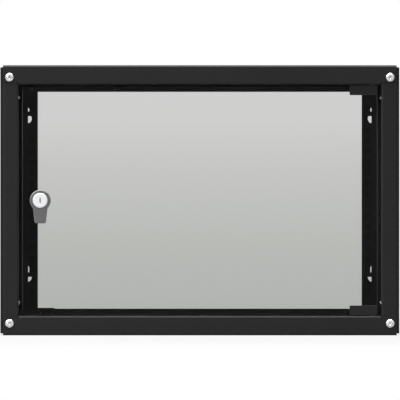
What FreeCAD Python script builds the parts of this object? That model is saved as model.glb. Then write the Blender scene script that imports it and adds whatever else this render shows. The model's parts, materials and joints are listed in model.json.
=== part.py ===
import FreeCAD, Part
import os

import Sketcher

# Wall mount network cabinet: six rack units high, single glass door, open back.
# +X right, +Y towards the wall, +Z up.  The origin is the middle of the four wall
# keyholes, in the plane of the rear face.

SIZES = {
    # Outer size and sheet
    "frame_width": 544.0,
    "cabinet_height": 372.0,
    "cabinet_depth": 400.0,
    "cover_sheet": 1.2,
    "frame_sheet": 2.0,
    "bend_radius": 2.6,
    "seam_gap": 0.6,
    # Covers
    "front_flange": 26.5,
    "rear_flange": 26.0,
    "side_flange": 12.0,
    "ledge_depth": 18.0,
    "lip_drop": 10.0,
    "notch_gap": 0.5,
    "vent_width": 3.6,
    "vent_run": 45.0,
    "vent_pitch": 14.0,
    "vent_front_row": 95.0,
    "vent_row_pitch": 62.0,
    "entry_width": 200.0,
    "entry_depth": 50.0,
    "entry_back": 50.0,
    "entry_overlap": 12.0,
    # Posts
    "post_face": 22.0,
    "post_depth": 38.0,
    "post_end_gap": 2.5,
    "rear_post_face": 45.0,
    # Corner screws
    "corner_inset": 9.7,
    "corner_drop": 16.4,
    "corner_head_radius": 6.2,
    "corner_head_height": 3.4,
    "corner_shank_radius": 3.0,
    "corner_screw_length": 12.0,
    "screw_clearance": 0.2,
    # Wall keyholes
    "keyhole_inset": 29.5,
    "keyhole_drop": 75.0,
    "keyhole_head_radius": 7.0,
    "keyhole_neck_radius": 3.5,
    "keyhole_neck_run": 12.5,
    # Side panels
    "panel_proud": 3.0,
    "panel_setback": 2.6,
    "panel_edge_radius": 1.0,
    "stud_radius": 2.0,
    "stud_reach": 10.0,
    "stud_inset": 19.0,
    "stud_drop": 91.0,
    # Rails and depth brackets
    "rail_reach": 25.0,
    "rail_hole_inset": 17.45,
    "rack_hole_size": 9.5,
    "rack_unit_height": 44.45,
    "hole_inset": 6.35,
    "hole_step": 15.875,
    "rail_setback": 70.0,
    "rail_side": 30.0,
    "rail_end_drop": 30.0,
    "rail_hole_margin": 20.0,
    "bar_drop": 44.0,
    "bar_height": 20.0,
    "bar_front_gap": 5.0,
    "bar_tab": 14.0,
    "bar_slot_run": 120.0,
    "bar_slot_start": 40.0,
    "bar_screw_depth": 20.0,
    "rail_screw_depth": 12.0,
    "rail_screw_step": 11.0,
    # Door
    "glass_thickness": 5.0,
    "glass_recess": 5.0,
    "glass_side_gap": 5.0,
    "glass_edge_gap": 2.5,
    "glass_corner_radius": 3.0,
    "glass_arris": 0.6,
    "clip_width": 38.5,
    "clip_height": 13.8,
    "clip_web": 1.6,
    "clip_front": 1.5,
    "clip_rear": 3.0,
    "clip_corner": 1.5,
    "clip_seat_gap": 0.2,
    "pad_thickness": 0.5,
    "pad_margin": 2.2,
    "pivot_inset": 7.0,
    "pin_radius": 2.5,
    "pin_rivet_radius": 2.0,
    "pin_length": 4.2,
    "bush_radius": 4.0,
    "bush_flange_radius": 5.5,
    "bush_flange": 0.5,
    "bush_length": 4.0,
    "running_gap": 0.05,
    "clamp_inset": 9.5,
    "clamp_screw_length": 3.4,
    # Lock
    "lock_inset": 25.0,
    "lock_barrel_radius": 8.0,
    "lock_flange_radius": 13.4,
    "lock_seat_gap": 0.2,
    "lock_barrel_reach": 8.5,
    "lock_ring_radius": 12.5,
    "lock_nut_radius": 12.6,
    "lock_nut_height": 4.0,
    "knob_radius": 14.6,
    "knob_thickness": 7.0,
    "knob_lift": 0.6,
    "tail_reach": 31.7,
    "tail_root_width": 22.0,
    "tail_tip_width": 15.6,
    "tail_corner": 3.0,
    "knob_edge": 1.4,
    "spindle_radius": 5.0,
    "spindle_square": 7.0,
    "plug_radius": 10.25,
    "plug_recess": 2.5,
    "plug_proud": 1.0,
    "plug_core_radius": 4.0,
    "plug_core_length": 4.0,
    "key_slot_width": 1.3,
    "key_slot_height": 7.5,
    "key_slot_depth": 2.4,
    "cam_reach": 32.0,
    "cam_width": 14.0,
    "cam_sheet": 2.5,
    "cam_screw_length": 8.0,
    "strike_width": 5.0,
    "strike_top": 8.5,
    "strike_bottom": 22.0,
    # Catch and buffers
    "catch_width": 24.0,
    "catch_inset": 21.0,
    "catch_height": 11.2,
    "catch_gap": 0.2,
    "catch_corner": 2.0,
    "catch_screw_inset": 6.0,
    "catch_screw_bite": 4.0,
    "plate_margin": 2.9,
    "strike_plate": 0.8,
    "buffer_radius": 4.0,
    "buffer_gap": 0.3,
    "buffer_inset": 13.0,
    # Small fixings
    "small_head_radius": 3.9,
    "small_head_height": 2.4,
    "small_shank_radius": 2.0,
    "rail_head_radius": 4.6,
    "rail_head_height": 2.8,
    "rail_shank_radius": 2.5,
    "small_nut_radius": 4.0,
    "rail_nut_radius": 4.6,
    "corner_nut_radius": 5.8,
    "nut_height": 3.2,
    "thread_end": 1.0,
    "tip_chamfer": 0.5,
    "earth_radius": 3.0,
    "earth_length": 17.0,
    "earth_inset": 60.0,
}

HOLES_PER_UNIT = 3
VENTS_PER_ROW = 17
LEFT, RIGHT = -1, 1
LOWER, UPPER = -1, 1

doc = FreeCAD.newDocument("network_cabinet")
sheet = doc.addObject("Spreadsheet::Sheet", "Dims")
for row, (alias, number) in enumerate(SIZES.items(), start=1):
    sheet.set(f"A{row}", alias.replace("_", " "))
    sheet.set(f"B{row}", str(number))
    sheet.setAlias(f"B{row}", alias)
doc.recompute()


class Size:
    """A length in mm that keeps its spreadsheet formula beside its number."""

    def __init__(self, number, formula):
        self.number = number
        self.formula = formula

    def __add__(self, other):
        other = as_size(other)
        return Size(self.number + other.number, f"({self.formula} + {other.formula})")

    def __sub__(self, other):
        other = as_size(other)
        return Size(self.number - other.number, f"({self.formula} - {other.formula})")

    def __mul__(self, other):
        other = as_size(other)
        return Size(self.number * other.number, f"({self.formula} * {other.formula})")

    def __truediv__(self, other):
        other = as_size(other)
        return Size(self.number / other.number, f"({self.formula} / {other.formula})")

    def __radd__(self, other):
        return as_size(other) + self

    def __rsub__(self, other):
        return as_size(other) - self

    def __rmul__(self, other):
        return as_size(other) * self

    def __neg__(self):
        return Size(-self.number, f"(-1 * {self.formula})")


def as_size(value):
    """A Size stays as it is, and a plain number becomes one."""
    return value if isinstance(value, Size) else Size(float(value), f"({float(value)})")


class Dims:
    """Every cell of the sheet as a Size, under its alias."""


for alias, number in SIZES.items():
    setattr(Dims, alias, Size(number, f"Dims.{alias}"))


# ---------------------------------------------------------------- modelling helpers

def bind(owner, path, size):
    """Bind a property to the sheet."""
    owner.setExpression(path, as_size(size).formula)


def place(owner, x, y, z, rotation=FreeCAD.Rotation()):
    """Give an object a Placement whose three coordinates are bound to the sheet."""
    base = [as_size(value) for value in (x, y, z)]
    owner.Placement = FreeCAD.Placement(FreeCAD.Vector(*[size.number for size in base]), rotation)
    for axis, size in zip("xyz", base):
        bind(owner, f"Placement.Base.{axis}", size)


def new_body(label):
    body = doc.addObject("PartDesign::Body", label)
    body.Label = label
    return body


def new_sketch(body, role, level=0.0):
    """A sketch on an origin plane, moved along +X, +Y or +Z to the given level."""
    plane = next(item for item in body.Origin.OriginFeatures if item.Role == role)
    sketch = body.newObject("Sketcher::SketchObject", f"{body.Name}_sketch")
    sketch.AttachmentSupport = [(plane, "")]
    sketch.MapMode = "FlatFace"
    bind(sketch, "AttachmentOffset.Base.z", -as_size(level) if role == "XZ_Plane" else level)
    return sketch


def hold(sketch, kind, first, first_point, second, second_point, size):
    """Add a dimension to a sketch and bind it to the sheet."""
    index = sketch.addConstraint(
        Sketcher.Constraint(kind, first, first_point, second, second_point, size.number))
    bind(sketch, f"Constraints[{index}]", size)


def hold_point(sketch, geometry, point, x, y):
    hold(sketch, "DistanceX", -1, 1, geometry, point, as_size(x))
    hold(sketch, "DistanceY", -1, 1, geometry, point, as_size(y))


def hold_radius(sketch, geometry, radius):
    index = sketch.addConstraint(Sketcher.Constraint("Radius", geometry, as_size(radius).number))
    bind(sketch, f"Constraints[{index}]", radius)


def vector(x, y):
    return FreeCAD.Vector(as_size(x).number, as_size(y).number, 0)


def polygon(sketch, points):
    """A closed outline of straight lines."""
    first = sketch.GeometryCount
    count = len(points)
    for index, point in enumerate(points):
        following = points[(index + 1) % count]
        sketch.addGeometry(Part.LineSegment(vector(*point), vector(*following)), False)
    for index, point in enumerate(points):
        sketch.addConstraint(
            Sketcher.Constraint("Coincident", first + index, 2, first + (index + 1) % count, 1))
        hold_point(sketch, first + index, 1, *point)


def rectangle(sketch, left, low, right, high):
    polygon(sketch, [(left, low), (right, low), (right, high), (left, high)])


def circle(sketch, x, y, radius):
    index = sketch.addGeometry(
        Part.Circle(vector(x, y), FreeCAD.Vector(0, 0, 1), as_size(radius).number), False)
    hold_point(sketch, index, 3, x, y)
    hold_radius(sketch, index, radius)


def slot(sketch, x, y, run, radius, upright):
    """A slot from a round end at (x, y) to a round end one run further along."""
    along = FreeCAD.Vector(0, 1, 0) if upright else FreeCAD.Vector(1, 0, 0)
    aside = FreeCAD.Vector(0, 0, 1).cross(along) * as_size(radius).number
    start = vector(x, y)
    end = start + along * as_size(run).number
    reach = along * as_size(radius).number
    near = sketch.addGeometry(
        Part.Arc(start + aside, start - reach, start - aside), False)
    lower = sketch.addGeometry(Part.LineSegment(start - aside, end - aside), False)
    far = sketch.addGeometry(Part.Arc(end - aside, end + reach, end + aside), False)
    upper = sketch.addGeometry(Part.LineSegment(end + aside, start + aside), False)
    for before, after in ((near, lower), (lower, far), (far, upper), (upper, near)):
        sketch.addConstraint(Sketcher.Constraint("Tangent", before, 2, after, 1))
    hold_point(sketch, near, 3, x, y)
    if upright:
        hold_point(sketch, far, 3, x, y + run)
    else:
        hold_point(sketch, far, 3, x + run, y)
    hold_radius(sketch, near, radius)


def pad(body, sketch, length):
    """Extrude a sketch by half the length to either side of its plane."""
    feature = body.newObject("PartDesign::Pad", f"{body.Name}_pad")
    feature.Profile = sketch
    feature.AllowMultiFace = True
    feature.SideType = "Symmetric"
    bind(feature, "Length", length)
    doc.recompute()
    return feature


def pocket(body, sketch, depth):
    """Cut a sketch away, half the depth to either side of its plane."""
    volume = body.Shape.Volume
    feature = body.newObject("PartDesign::Pocket", f"{body.Name}_pocket")
    feature.Profile = sketch
    feature.AllowMultiFace = True
    feature.SideType = "Symmetric"
    bind(feature, "Length", depth)
    doc.recompute()
    if body.Shape.Volume >= volume:
        raise RuntimeError(f"{feature.Name} cuts nothing")
    return feature


def repeat(body, feature, role, extent, count):
    """Repeat a feature along one of the body's axes."""
    pattern = body.newObject("PartDesign::LinearPattern", f"{body.Name}_pattern")
    axis = next(item for item in body.Origin.OriginFeatures if item.Role == role)
    pattern.Originals = [feature]
    pattern.Direction = (axis, [""])
    bind(pattern, "Length", extent)
    pattern.Occurrences = count
    body.Tip = pattern
    doc.recompute()
    return pattern


def revolve(body, sketch):
    """Turn a half outline about the sketch's upright axis."""
    feature = body.newObject("PartDesign::Revolution", f"{body.Name}_turned")
    feature.Profile = sketch
    feature.ReferenceAxis = (sketch, ["V_Axis"])
    feature.Angle = 360
    doc.recompute()
    return feature


def edges_through(shape, points):
    """Names of the edges that pass through any of the points."""
    names = []
    for point in points:
        spot = Part.Vertex(*[as_size(value).number for value in point])
        found = [index for index, edge in enumerate(shape.Edges, start=1)
                 if edge.distToShape(spot)[0] < 0.01]
        if not found:
            raise RuntimeError(f"no edge through {spot.Point}")
        names += [f"Edge{index}" for index in found]
    return sorted(set(names))


def dress(body, kind, size_name, size, points):
    """Round or chamfer the edges that pass through the points."""
    base = body.Tip
    names = edges_through(base.Shape, points)
    feature = body.newObject(f"PartDesign::{kind}", f"{body.Name}_{kind.lower()}")
    feature.Base = (base, names)
    bind(feature, size_name, size)
    doc.recompute()
    return feature


def round_edges(body, radius, points):
    return dress(body, "Fillet", "Radius", radius, points)


def chamfer_edges(body, width, points):
    return dress(body, "Chamfer", "Size", width, points)


def block(body, x_range, y_range, z_range):
    """Pad a box given by its range along each axis."""
    sketch = new_sketch(body, "XY_Plane", (z_range[0] + z_range[1]) / 2)
    rectangle(sketch, x_range[0], y_range[0], x_range[1], y_range[1])
    return pad(body, sketch, z_range[1] - z_range[0])


def turned(label, outline):
    """A body turned about its own Z axis from (radius, height) points."""
    body = new_body(label)
    sketch = new_sketch(body, "XZ_Plane")
    polygon(sketch, outline)
    revolve(body, sketch)
    return body


def ring(label, inner, outer, low, high):
    return turned(label, [(inner, low), (outer, low), (outer, high), (inner, high)])


def cross_recess(body, level, reach, width, depth):
    """Cut a cross-shaped driver recess down from the level."""
    sketch = new_sketch(body, "XY_Plane", level)
    half = width / 2
    polygon(sketch, [(half, reach), (-half, reach), (-half, half), (-reach, half),
                     (-reach, -half), (-half, -half), (-half, -reach), (half, -reach),
                     (half, -half), (reach, -half), (reach, half), (half, half)])
    pocket(body, sketch, depth * 2)


def pan_screw(label, head_radius, head_height, shank_radius, length):
    """A pan head screw standing on its head's seat at Z 0, with the shank below."""
    tip = shank_radius * 0.3
    body = turned(label, [
        (0, -length), (shank_radius - tip, -length), (shank_radius, tip - length),
        (shank_radius, 0), (head_radius, 0), (head_radius, head_height), (0, head_height)])
    round_edges(body, head_height * 0.75, [(head_radius, 0, head_height)])
    cross_recess(body, head_height, head_radius * 0.5, head_radius * 0.2, head_height * 0.6)
    return body


def countersunk_screw(label, head_radius, shank_radius, length):
    """A flat head screw whose face is at Z 0."""
    tip = shank_radius * 0.3
    body = turned(label, [
        (0, -length), (shank_radius - tip, -length), (shank_radius, tip - length),
        (shank_radius, shank_radius - head_radius), (head_radius, 0), (0, 0)])
    cross_recess(body, 0, head_radius * 0.5, head_radius * 0.2, head_radius * 0.3)
    return body


def hex_nut(label, corner_radius, bore_radius, height):
    """A hexagon nut from Z 0 up."""
    prism = doc.addObject("Part::Prism", f"{label}_hexagon")
    prism.Polygon = 6
    bind(prism, "Circumradius", corner_radius)
    bind(prism, "Height", height)
    bore = doc.addObject("Part::Cylinder", f"{label}_bore")
    bind(bore, "Radius", bore_radius)
    bind(bore, "Height", height)
    nut = doc.addObject("Part::Cut", label)
    nut.Base = prism
    nut.Tool = bore
    return nut


def group(label, pattern, places):
    """Copies of one piece, as separate solids of one sub-part."""
    links = []
    for index, (x, y, z, rotation) in enumerate(places, start=1):
        link = doc.addObject("App::Link", f"{label}_{index}")
        link.LinkedObject = pattern
        place(link, x, y, z, rotation)
        links.append(link)
    compound = doc.addObject("Part::Compound", label)
    compound.Label = label
    compound.Links = links
    return compound


def pointing(x, y, z, twist=0.0):
    """The rotation that turns a piece's own +Z to the given direction."""
    turn = FreeCAD.Rotation(FreeCAD.Vector(0, 0, 1), FreeCAD.Vector(x, y, z))
    return turn.multiply(FreeCAD.Rotation(FreeCAD.Vector(0, 0, 1), twist))


# ---------------------------------------------------------------- shared places

FRONT = -Dims.cabinet_depth
HALF_WIDTH = Dims.frame_width / 2
HALF_HEIGHT = Dims.cabinet_height / 2
PLATE_INSIDE = HALF_HEIGHT - Dims.cover_sheet
BEND_INSIDE = Dims.bend_radius - Dims.cover_sheet

OPENING_X = HALF_WIDTH - Dims.post_face
OPENING_Z = HALF_HEIGHT - Dims.front_flange
LIP_Y = FRONT + Dims.ledge_depth
LIP_Z = OPENING_Z - Dims.lip_drop

POST_Y = FRONT + Dims.cover_sheet
POST_BACK_Y = POST_Y + Dims.post_depth
POST_HALF_HEIGHT = PLATE_INSIDE - Dims.post_end_gap
POST_INNER_RADIUS = Dims.bend_radius - Dims.frame_sheet
POST_SHELF_X = HALF_WIDTH - Dims.frame_sheet

CORNER_X = HALF_WIDTH - Dims.corner_inset
CORNER_Z = HALF_HEIGHT - Dims.corner_drop
CORNER_HOLE = Dims.corner_shank_radius + Dims.screw_clearance

KEYHOLE_X = HALF_WIDTH - Dims.keyhole_inset
KEYHOLE_Z = HALF_HEIGHT - Dims.keyhole_drop

BAR_X = OPENING_X + Dims.frame_sheet
BAR_OUTER_X = BAR_X + Dims.frame_sheet
BAR_FRONT_Y = POST_Y + Dims.frame_sheet + Dims.bar_front_gap
BAR_TAB_Y = -Dims.frame_sheet * 2
BAR_TAB_X = BAR_OUTER_X + Dims.bar_tab / 2
BAR_SCREW_Y = FRONT + Dims.bar_screw_depth
BAR_Z = HALF_HEIGHT - Dims.bar_drop

RAIL_Y = FRONT + Dims.rail_setback
RAIL_SCREW_YS = [RAIL_Y + Dims.rail_screw_depth,
                 RAIL_Y + Dims.rail_screw_depth + Dims.rail_screw_step]
RAIL_LENGTH = (HALF_HEIGHT - Dims.rail_end_drop) * 2
# As many whole rack units as the rail has room for between its plain ends.
RACK_UNITS = int((RAIL_LENGTH - Dims.rail_hole_margin * 2).number // Dims.rack_unit_height.number)

STUD_YS = [POST_Y + Dims.stud_inset, -Dims.stud_inset]
STUD_Z = HALF_HEIGHT - Dims.stud_drop
SMALL_HOLE = Dims.small_shank_radius + Dims.screw_clearance
RAIL_HOLE = Dims.rail_shank_radius + Dims.screw_clearance
COUNTERSINK = Dims.small_head_radius - Dims.small_shank_radius

GLASS_FRONT_Y = FRONT + Dims.glass_recess
GLASS_BACK_Y = GLASS_FRONT_Y + Dims.glass_thickness
GLASS_MIDDLE_Y = GLASS_FRONT_Y + Dims.glass_thickness / 2
GLASS_X = OPENING_X - Dims.glass_side_gap
GLASS_Z = OPENING_Z - Dims.glass_edge_gap
PIVOT_X = GLASS_X - Dims.pivot_inset

LOCK_X = Dims.lock_inset - GLASS_X
# The cam turns in this plane, just behind the lock barrel.
CAM_FRONT_Y = GLASS_BACK_Y + Dims.lock_barrel_reach + Dims.lock_seat_gap
CAM_MIDDLE_Y = CAM_FRONT_Y + Dims.cam_sheet / 2
TO_FRONT = pointing(0, -1, 0)


# ---------------------------------------------------------------- covers

def cover(label, end):
    """Top or bottom cover: one bent sheet with a door ledge, a lip and a rear flange."""
    body = new_body(label)
    skin = Dims.cover_sheet
    rear = -Dims.frame_sheet
    rear_z = HALF_HEIGHT - Dims.rear_flange

    section = new_sketch(body, "YZ_Plane")
    outline = [(rear, rear_z), (rear, HALF_HEIGHT), (FRONT, HALF_HEIGHT), (FRONT, OPENING_Z),
               (LIP_Y, OPENING_Z), (LIP_Y, LIP_Z), (LIP_Y + skin, LIP_Z),
               (LIP_Y + skin, OPENING_Z + skin), (FRONT + skin, OPENING_Z + skin),
               (FRONT + skin, PLATE_INSIDE), (rear - skin, PLATE_INSIDE), (rear - skin, rear_z)]
    polygon(section, [(y, end * z) for y, z in outline])
    pad(body, section, Dims.frame_width - Dims.seam_gap * 2)

    # The ledge and the lip stop short of the posts, and so does the rear flange.
    notches = new_sketch(body, "XZ_Plane", FRONT + Dims.ledge_depth / 2)
    for side in (LEFT, RIGHT):
        inner = side * (OPENING_X - Dims.notch_gap)
        outer = side * HALF_WIDTH
        rectangle(notches, inner, end * (LIP_Z - skin), outer,
                  end * (OPENING_Z + Dims.bend_radius + Dims.notch_gap))
    pocket(body, notches, Dims.ledge_depth + skin * 4)
    rear_notches = new_sketch(body, "XZ_Plane", rear - skin)
    for side in (LEFT, RIGHT):
        inner = side * (POST_SHELF_X - Dims.notch_gap)
        rectangle(rear_notches, inner, end * (rear_z - skin), side * HALF_WIDTH,
                  end * (HALF_HEIGHT - Dims.bend_radius - Dims.notch_gap))
    pocket(body, rear_notches, skin * 4)

    outer_bends = [(rear, HALF_HEIGHT), (FRONT, HALF_HEIGHT), (FRONT, OPENING_Z),
                   (LIP_Y + skin, OPENING_Z + skin)]
    inner_bends = [(LIP_Y, OPENING_Z), (FRONT + skin, OPENING_Z + skin),
                   (FRONT + skin, PLATE_INSIDE), (rear - skin, PLATE_INSIDE)]
    round_edges(body, Dims.bend_radius, [(0, y, end * z) for y, z in outer_bends])
    round_edges(body, BEND_INSIDE, [(0, y, end * z) for y, z in inner_bends])

    # Stiffening flanges along the sides, between the posts.
    flange_length = Dims.cabinet_depth - Dims.cover_sheet - Dims.post_depth * 2 - Dims.seam_gap * 4
    flanges = new_sketch(body, "XZ_Plane", POST_Y / 2)
    for side in (LEFT, RIGHT):
        edge = HALF_WIDTH - Dims.seam_gap
        rectangle(flanges, side * (edge - skin), end * (PLATE_INSIDE - Dims.side_flange),
                  side * edge, end * (PLATE_INSIDE + skin / 2))
    pad(body, flanges, flange_length)

    front_holes = new_sketch(body, "XZ_Plane", FRONT)
    for side in (LEFT, RIGHT):
        circle(front_holes, side * CORNER_X, end * CORNER_Z, CORNER_HOLE)
    pocket(body, front_holes, skin * 4)
    rear_holes = new_sketch(body, "XZ_Plane", rear)
    for side in (LEFT, RIGHT):
        circle(rear_holes, side * CORNER_X, end * CORNER_Z, SMALL_HOLE)
    pocket(body, rear_holes, skin * 4)

    bush_hole = new_sketch(body, "XY_Plane", end * (OPENING_Z + skin / 2))
    circle(bush_hole, PIVOT_X, GLASS_MIDDLE_Y, Dims.bush_radius)
    pocket(body, bush_hole, skin * 2)

    entry = new_sketch(body, "XY_Plane", end * (PLATE_INSIDE + skin / 2))
    entry_back = -Dims.entry_back
    rectangle(entry, -Dims.entry_width / 2, entry_back - Dims.entry_depth,
              Dims.entry_width / 2, entry_back)
    for x, y in entry_screws():
        circle(entry, x, y, Dims.small_shank_radius)
    pocket(body, entry, skin * 2)

    # Cooling slots in two rows, running front to rear.
    vents = new_sketch(body, "XY_Plane", end * (PLATE_INSIDE + skin / 2))
    row_width = Dims.vent_pitch * (VENTS_PER_ROW - 1)
    for row in range(2):
        slot(vents, -row_width / 2, FRONT + Dims.vent_front_row + row * Dims.vent_row_pitch,
             Dims.vent_run, Dims.vent_width / 2, upright=True)
    first_slots = pocket(body, vents, skin * 2)
    repeat(body, first_slots, "X_Axis", row_width, VENTS_PER_ROW)
    return body


def entry_screws():
    """Where the four screws of a cable entry cover are, as (x, y)."""
    x = Dims.entry_width / 2 + Dims.entry_overlap / 2
    back = -Dims.entry_back + Dims.entry_overlap / 2
    front = -Dims.entry_back - Dims.entry_depth - Dims.entry_overlap / 2
    return [(side * x, y) for side in (LEFT, RIGHT) for y in (front, back)]


def entry_cover(label, end):
    """Blanking plate over the cable entry, on the inside of its cover."""
    body = new_body(label)
    level = end * (PLATE_INSIDE - Dims.cover_sheet / 2)
    x = Dims.entry_width / 2 + Dims.entry_overlap
    back = -Dims.entry_back + Dims.entry_overlap
    front = -Dims.entry_back - Dims.entry_depth - Dims.entry_overlap
    plate = new_sketch(body, "XY_Plane", level)
    rectangle(plate, -x, front, x, back)
    for hole_x, hole_y in entry_screws():
        circle(plate, hole_x, hole_y, SMALL_HOLE)
    pad(body, plate, Dims.cover_sheet)
    corners = [(side * x, y, level) for side in (LEFT, RIGHT) for y in (front, back)]
    round_edges(body, Dims.entry_overlap / 3, corners)
    return body


cover("top_cover", UPPER)
bottom_cover = cover("bottom_cover", LOWER)
entry_cover("top_entry_cover", UPPER)
entry_cover("bottom_entry_cover", LOWER)


# ---------------------------------------------------------------- posts

def bent_post(body, points, outer_bends, inner_bends):
    """Pad a post's cross-section over its height and round its bends."""
    section = new_sketch(body, "XY_Plane")
    polygon(section, points)
    pad(body, section, POST_HALF_HEIGHT * 2)
    round_edges(body, Dims.bend_radius, [(x, y, 0) for x, y in outer_bends])
    round_edges(body, POST_INNER_RADIUS, [(x, y, 0) for x, y in inner_bends])


def front_post(label, side):
    """Front post: a channel open to the rear, with the strike slot on the lock side."""
    body = new_body(label)
    skin = Dims.frame_sheet
    outer, inner = side * HALF_WIDTH, side * OPENING_X
    outer_inside, inner_inside = side * POST_SHELF_X, side * BAR_X
    bent_post(body, [
        (outer, POST_BACK_Y), (outer, POST_Y), (inner, POST_Y), (inner, POST_BACK_Y),
        (inner_inside, POST_BACK_Y), (inner_inside, POST_Y + skin),
        (outer_inside, POST_Y + skin), (outer_inside, POST_BACK_Y)],
        [(outer, POST_Y), (inner, POST_Y)],
        [(outer_inside, POST_Y + skin), (inner_inside, POST_Y + skin)])

    corner_holes = new_sketch(body, "XZ_Plane", POST_Y)
    for end in (LOWER, UPPER):
        circle(corner_holes, side * CORNER_X, end * CORNER_Z, CORNER_HOLE)
    pocket(body, corner_holes, skin * 3)

    stud_holes = new_sketch(body, "YZ_Plane", side * (HALF_WIDTH - skin / 2))
    bar_holes = new_sketch(body, "YZ_Plane", side * (OPENING_X + skin / 2))
    for end in (LOWER, UPPER):
        circle(stud_holes, STUD_YS[0], end * STUD_Z,
               Dims.stud_radius + Dims.screw_clearance)
        circle(bar_holes, BAR_SCREW_Y, end * BAR_Z, SMALL_HOLE)
    pocket(body, stud_holes, skin * 2)
    pocket(body, bar_holes, skin * 2)

    if side == LEFT:
        strike = new_sketch(body, "YZ_Plane", side * (OPENING_X + skin / 2))
        rectangle(strike, CAM_MIDDLE_Y - Dims.strike_width / 2, -Dims.strike_bottom,
                  CAM_MIDDLE_Y + Dims.strike_width / 2, Dims.strike_top)
        pocket(body, strike, skin * 2)
    return body


def rear_post(label, side):
    """Rear post: an angle whose face lies on the wall and carries two keyholes."""
    body = new_body(label)
    skin = Dims.frame_sheet
    outer, inner = side * HALF_WIDTH, side * (HALF_WIDTH - Dims.rear_post_face)
    outer_inside = side * POST_SHELF_X
    depth = -Dims.post_depth
    bent_post(body, [
        (outer, 0), (outer, depth), (outer_inside, depth), (outer_inside, -skin),
        (inner, -skin), (inner, 0)],
        [(outer, 0)], [(outer_inside, -skin)])

    heads = new_sketch(body, "XZ_Plane", -skin / 2)
    necks = new_sketch(body, "XZ_Plane", -skin / 2)
    bar_holes = new_sketch(body, "XZ_Plane", -skin / 2)
    stud_holes = new_sketch(body, "YZ_Plane", side * (HALF_WIDTH - skin / 2))
    for end in (LOWER, UPPER):
        keyhole = (side * KEYHOLE_X, end * KEYHOLE_Z)
        circle(heads, *keyhole, Dims.keyhole_head_radius)
        slot(necks, *keyhole, Dims.keyhole_neck_run, Dims.keyhole_neck_radius, upright=True)
        circle(bar_holes, side * CORNER_X, end * CORNER_Z, Dims.small_shank_radius)
        circle(bar_holes, side * BAR_TAB_X, end * BAR_Z, Dims.small_shank_radius)
        circle(stud_holes, STUD_YS[1], end * STUD_Z,
               Dims.stud_radius + Dims.screw_clearance)
    pocket(body, heads, skin * 2)
    pocket(body, necks, skin * 2)
    pocket(body, bar_holes, skin * 2)
    pocket(body, stud_holes, skin * 2)
    rims = [(side * x + Dims.small_shank_radius, 0, end * z)
            for end in (LOWER, UPPER)
            for x, z in ((CORNER_X, CORNER_Z), (BAR_TAB_X, BAR_Z))]
    chamfer_edges(body, COUNTERSINK, rims)
    return body


front_post("front_post_left", LEFT)
front_post("front_post_right", RIGHT)
rear_post("rear_post_left", LEFT)
rear_post("rear_post_right", RIGHT)


# ---------------------------------------------------------------- side panels

def side_panel(label, side):
    """Side panel: a shallow tray with four welded studs that reach into the posts."""
    body = new_body(label)
    skin = Dims.cover_sheet
    outer_x = HALF_WIDTH + Dims.panel_proud
    plate_x = outer_x - skin
    front = FRONT + Dims.panel_setback
    back = -Dims.panel_setback
    half = HALF_HEIGHT - Dims.panel_setback

    tray = new_sketch(body, "YZ_Plane", side * (HALF_WIDTH + Dims.panel_proud / 2))
    rectangle(tray, front, -half, back, half)
    pad(body, tray, Dims.panel_proud)
    corners = [(side * outer_x, y, z) for y in (front, back) for z in (-half, half)]
    middles = [(side * outer_x, y, 0) for y in (front, back)]
    middles += [(side * outer_x, (front + back) / 2, z) for z in (-half, half)]
    corner_middles = [(side * (outer_x - Dims.panel_proud / 2), y, z) for _, y, z in corners]
    round_edges(body, Dims.panel_edge_radius, corner_middles + middles)
    hollow = new_sketch(body, "YZ_Plane", side * (HALF_WIDTH + (Dims.panel_proud - skin) / 2))
    rectangle(hollow, front + skin, skin - half, back - skin, half - skin)
    pocket(body, hollow, Dims.panel_proud - skin)

    stud_tip = POST_SHELF_X - Dims.stud_reach
    stud_root = plate_x + skin / 2
    studs = new_sketch(body, "YZ_Plane", side * (stud_tip + stud_root) / 2)
    for y in STUD_YS:
        for end in (LOWER, UPPER):
            circle(studs, y, end * STUD_Z, Dims.stud_radius)
    pad(body, studs, stud_root - stud_tip)
    return body


side_panel("side_panel_left", LEFT)
side_panel("side_panel_right", RIGHT)


# ---------------------------------------------------------------- brackets and rails

def depth_bracket(label, side, end):
    """Slotted bar from the front post to the rear post, with a tab bent out behind."""
    body = new_body(label)
    skin = Dims.frame_sheet
    low = end * BAR_Z - Dims.bar_height / 2
    high = low + Dims.bar_height
    tab_end = BAR_OUTER_X + Dims.bar_tab
    section = new_sketch(body, "XY_Plane", end * BAR_Z)
    polygon(section, [
        (side * BAR_X, BAR_FRONT_Y), (side * BAR_OUTER_X, BAR_FRONT_Y),
        (side * BAR_OUTER_X, BAR_TAB_Y), (side * tab_end, BAR_TAB_Y),
        (side * tab_end, -skin), (side * BAR_X, -skin)])
    pad(body, section, Dims.bar_height)
    round_edges(body, Dims.bend_radius, [(side * BAR_X, -skin, end * BAR_Z)])
    round_edges(body, POST_INNER_RADIUS,
                [(side * BAR_OUTER_X, BAR_TAB_Y, end * BAR_Z)])
    round_edges(body, Dims.bar_height / 5, [
        (side * (BAR_X + skin / 2), BAR_FRONT_Y, level) for level in (low, high)])

    slots = new_sketch(body, "YZ_Plane", side * (BAR_X + skin / 2))
    circle(slots, BAR_SCREW_Y, end * BAR_Z, SMALL_HOLE)
    slot(slots, FRONT + Dims.bar_slot_start + RAIL_HOLE, end * BAR_Z,
         Dims.bar_slot_run, RAIL_HOLE, upright=False)
    slot(slots, FRONT + Dims.bar_slot_start * 2 + Dims.bar_slot_run, end * BAR_Z,
         Dims.bar_slot_run, RAIL_HOLE, upright=False)
    pocket(body, slots, skin * 2)
    tab_hole = new_sketch(body, "XZ_Plane", BAR_TAB_Y)
    circle(tab_hole, side * BAR_TAB_X, end * BAR_Z, Dims.small_shank_radius)
    pocket(body, tab_hole, skin * 3)
    return body


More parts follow.
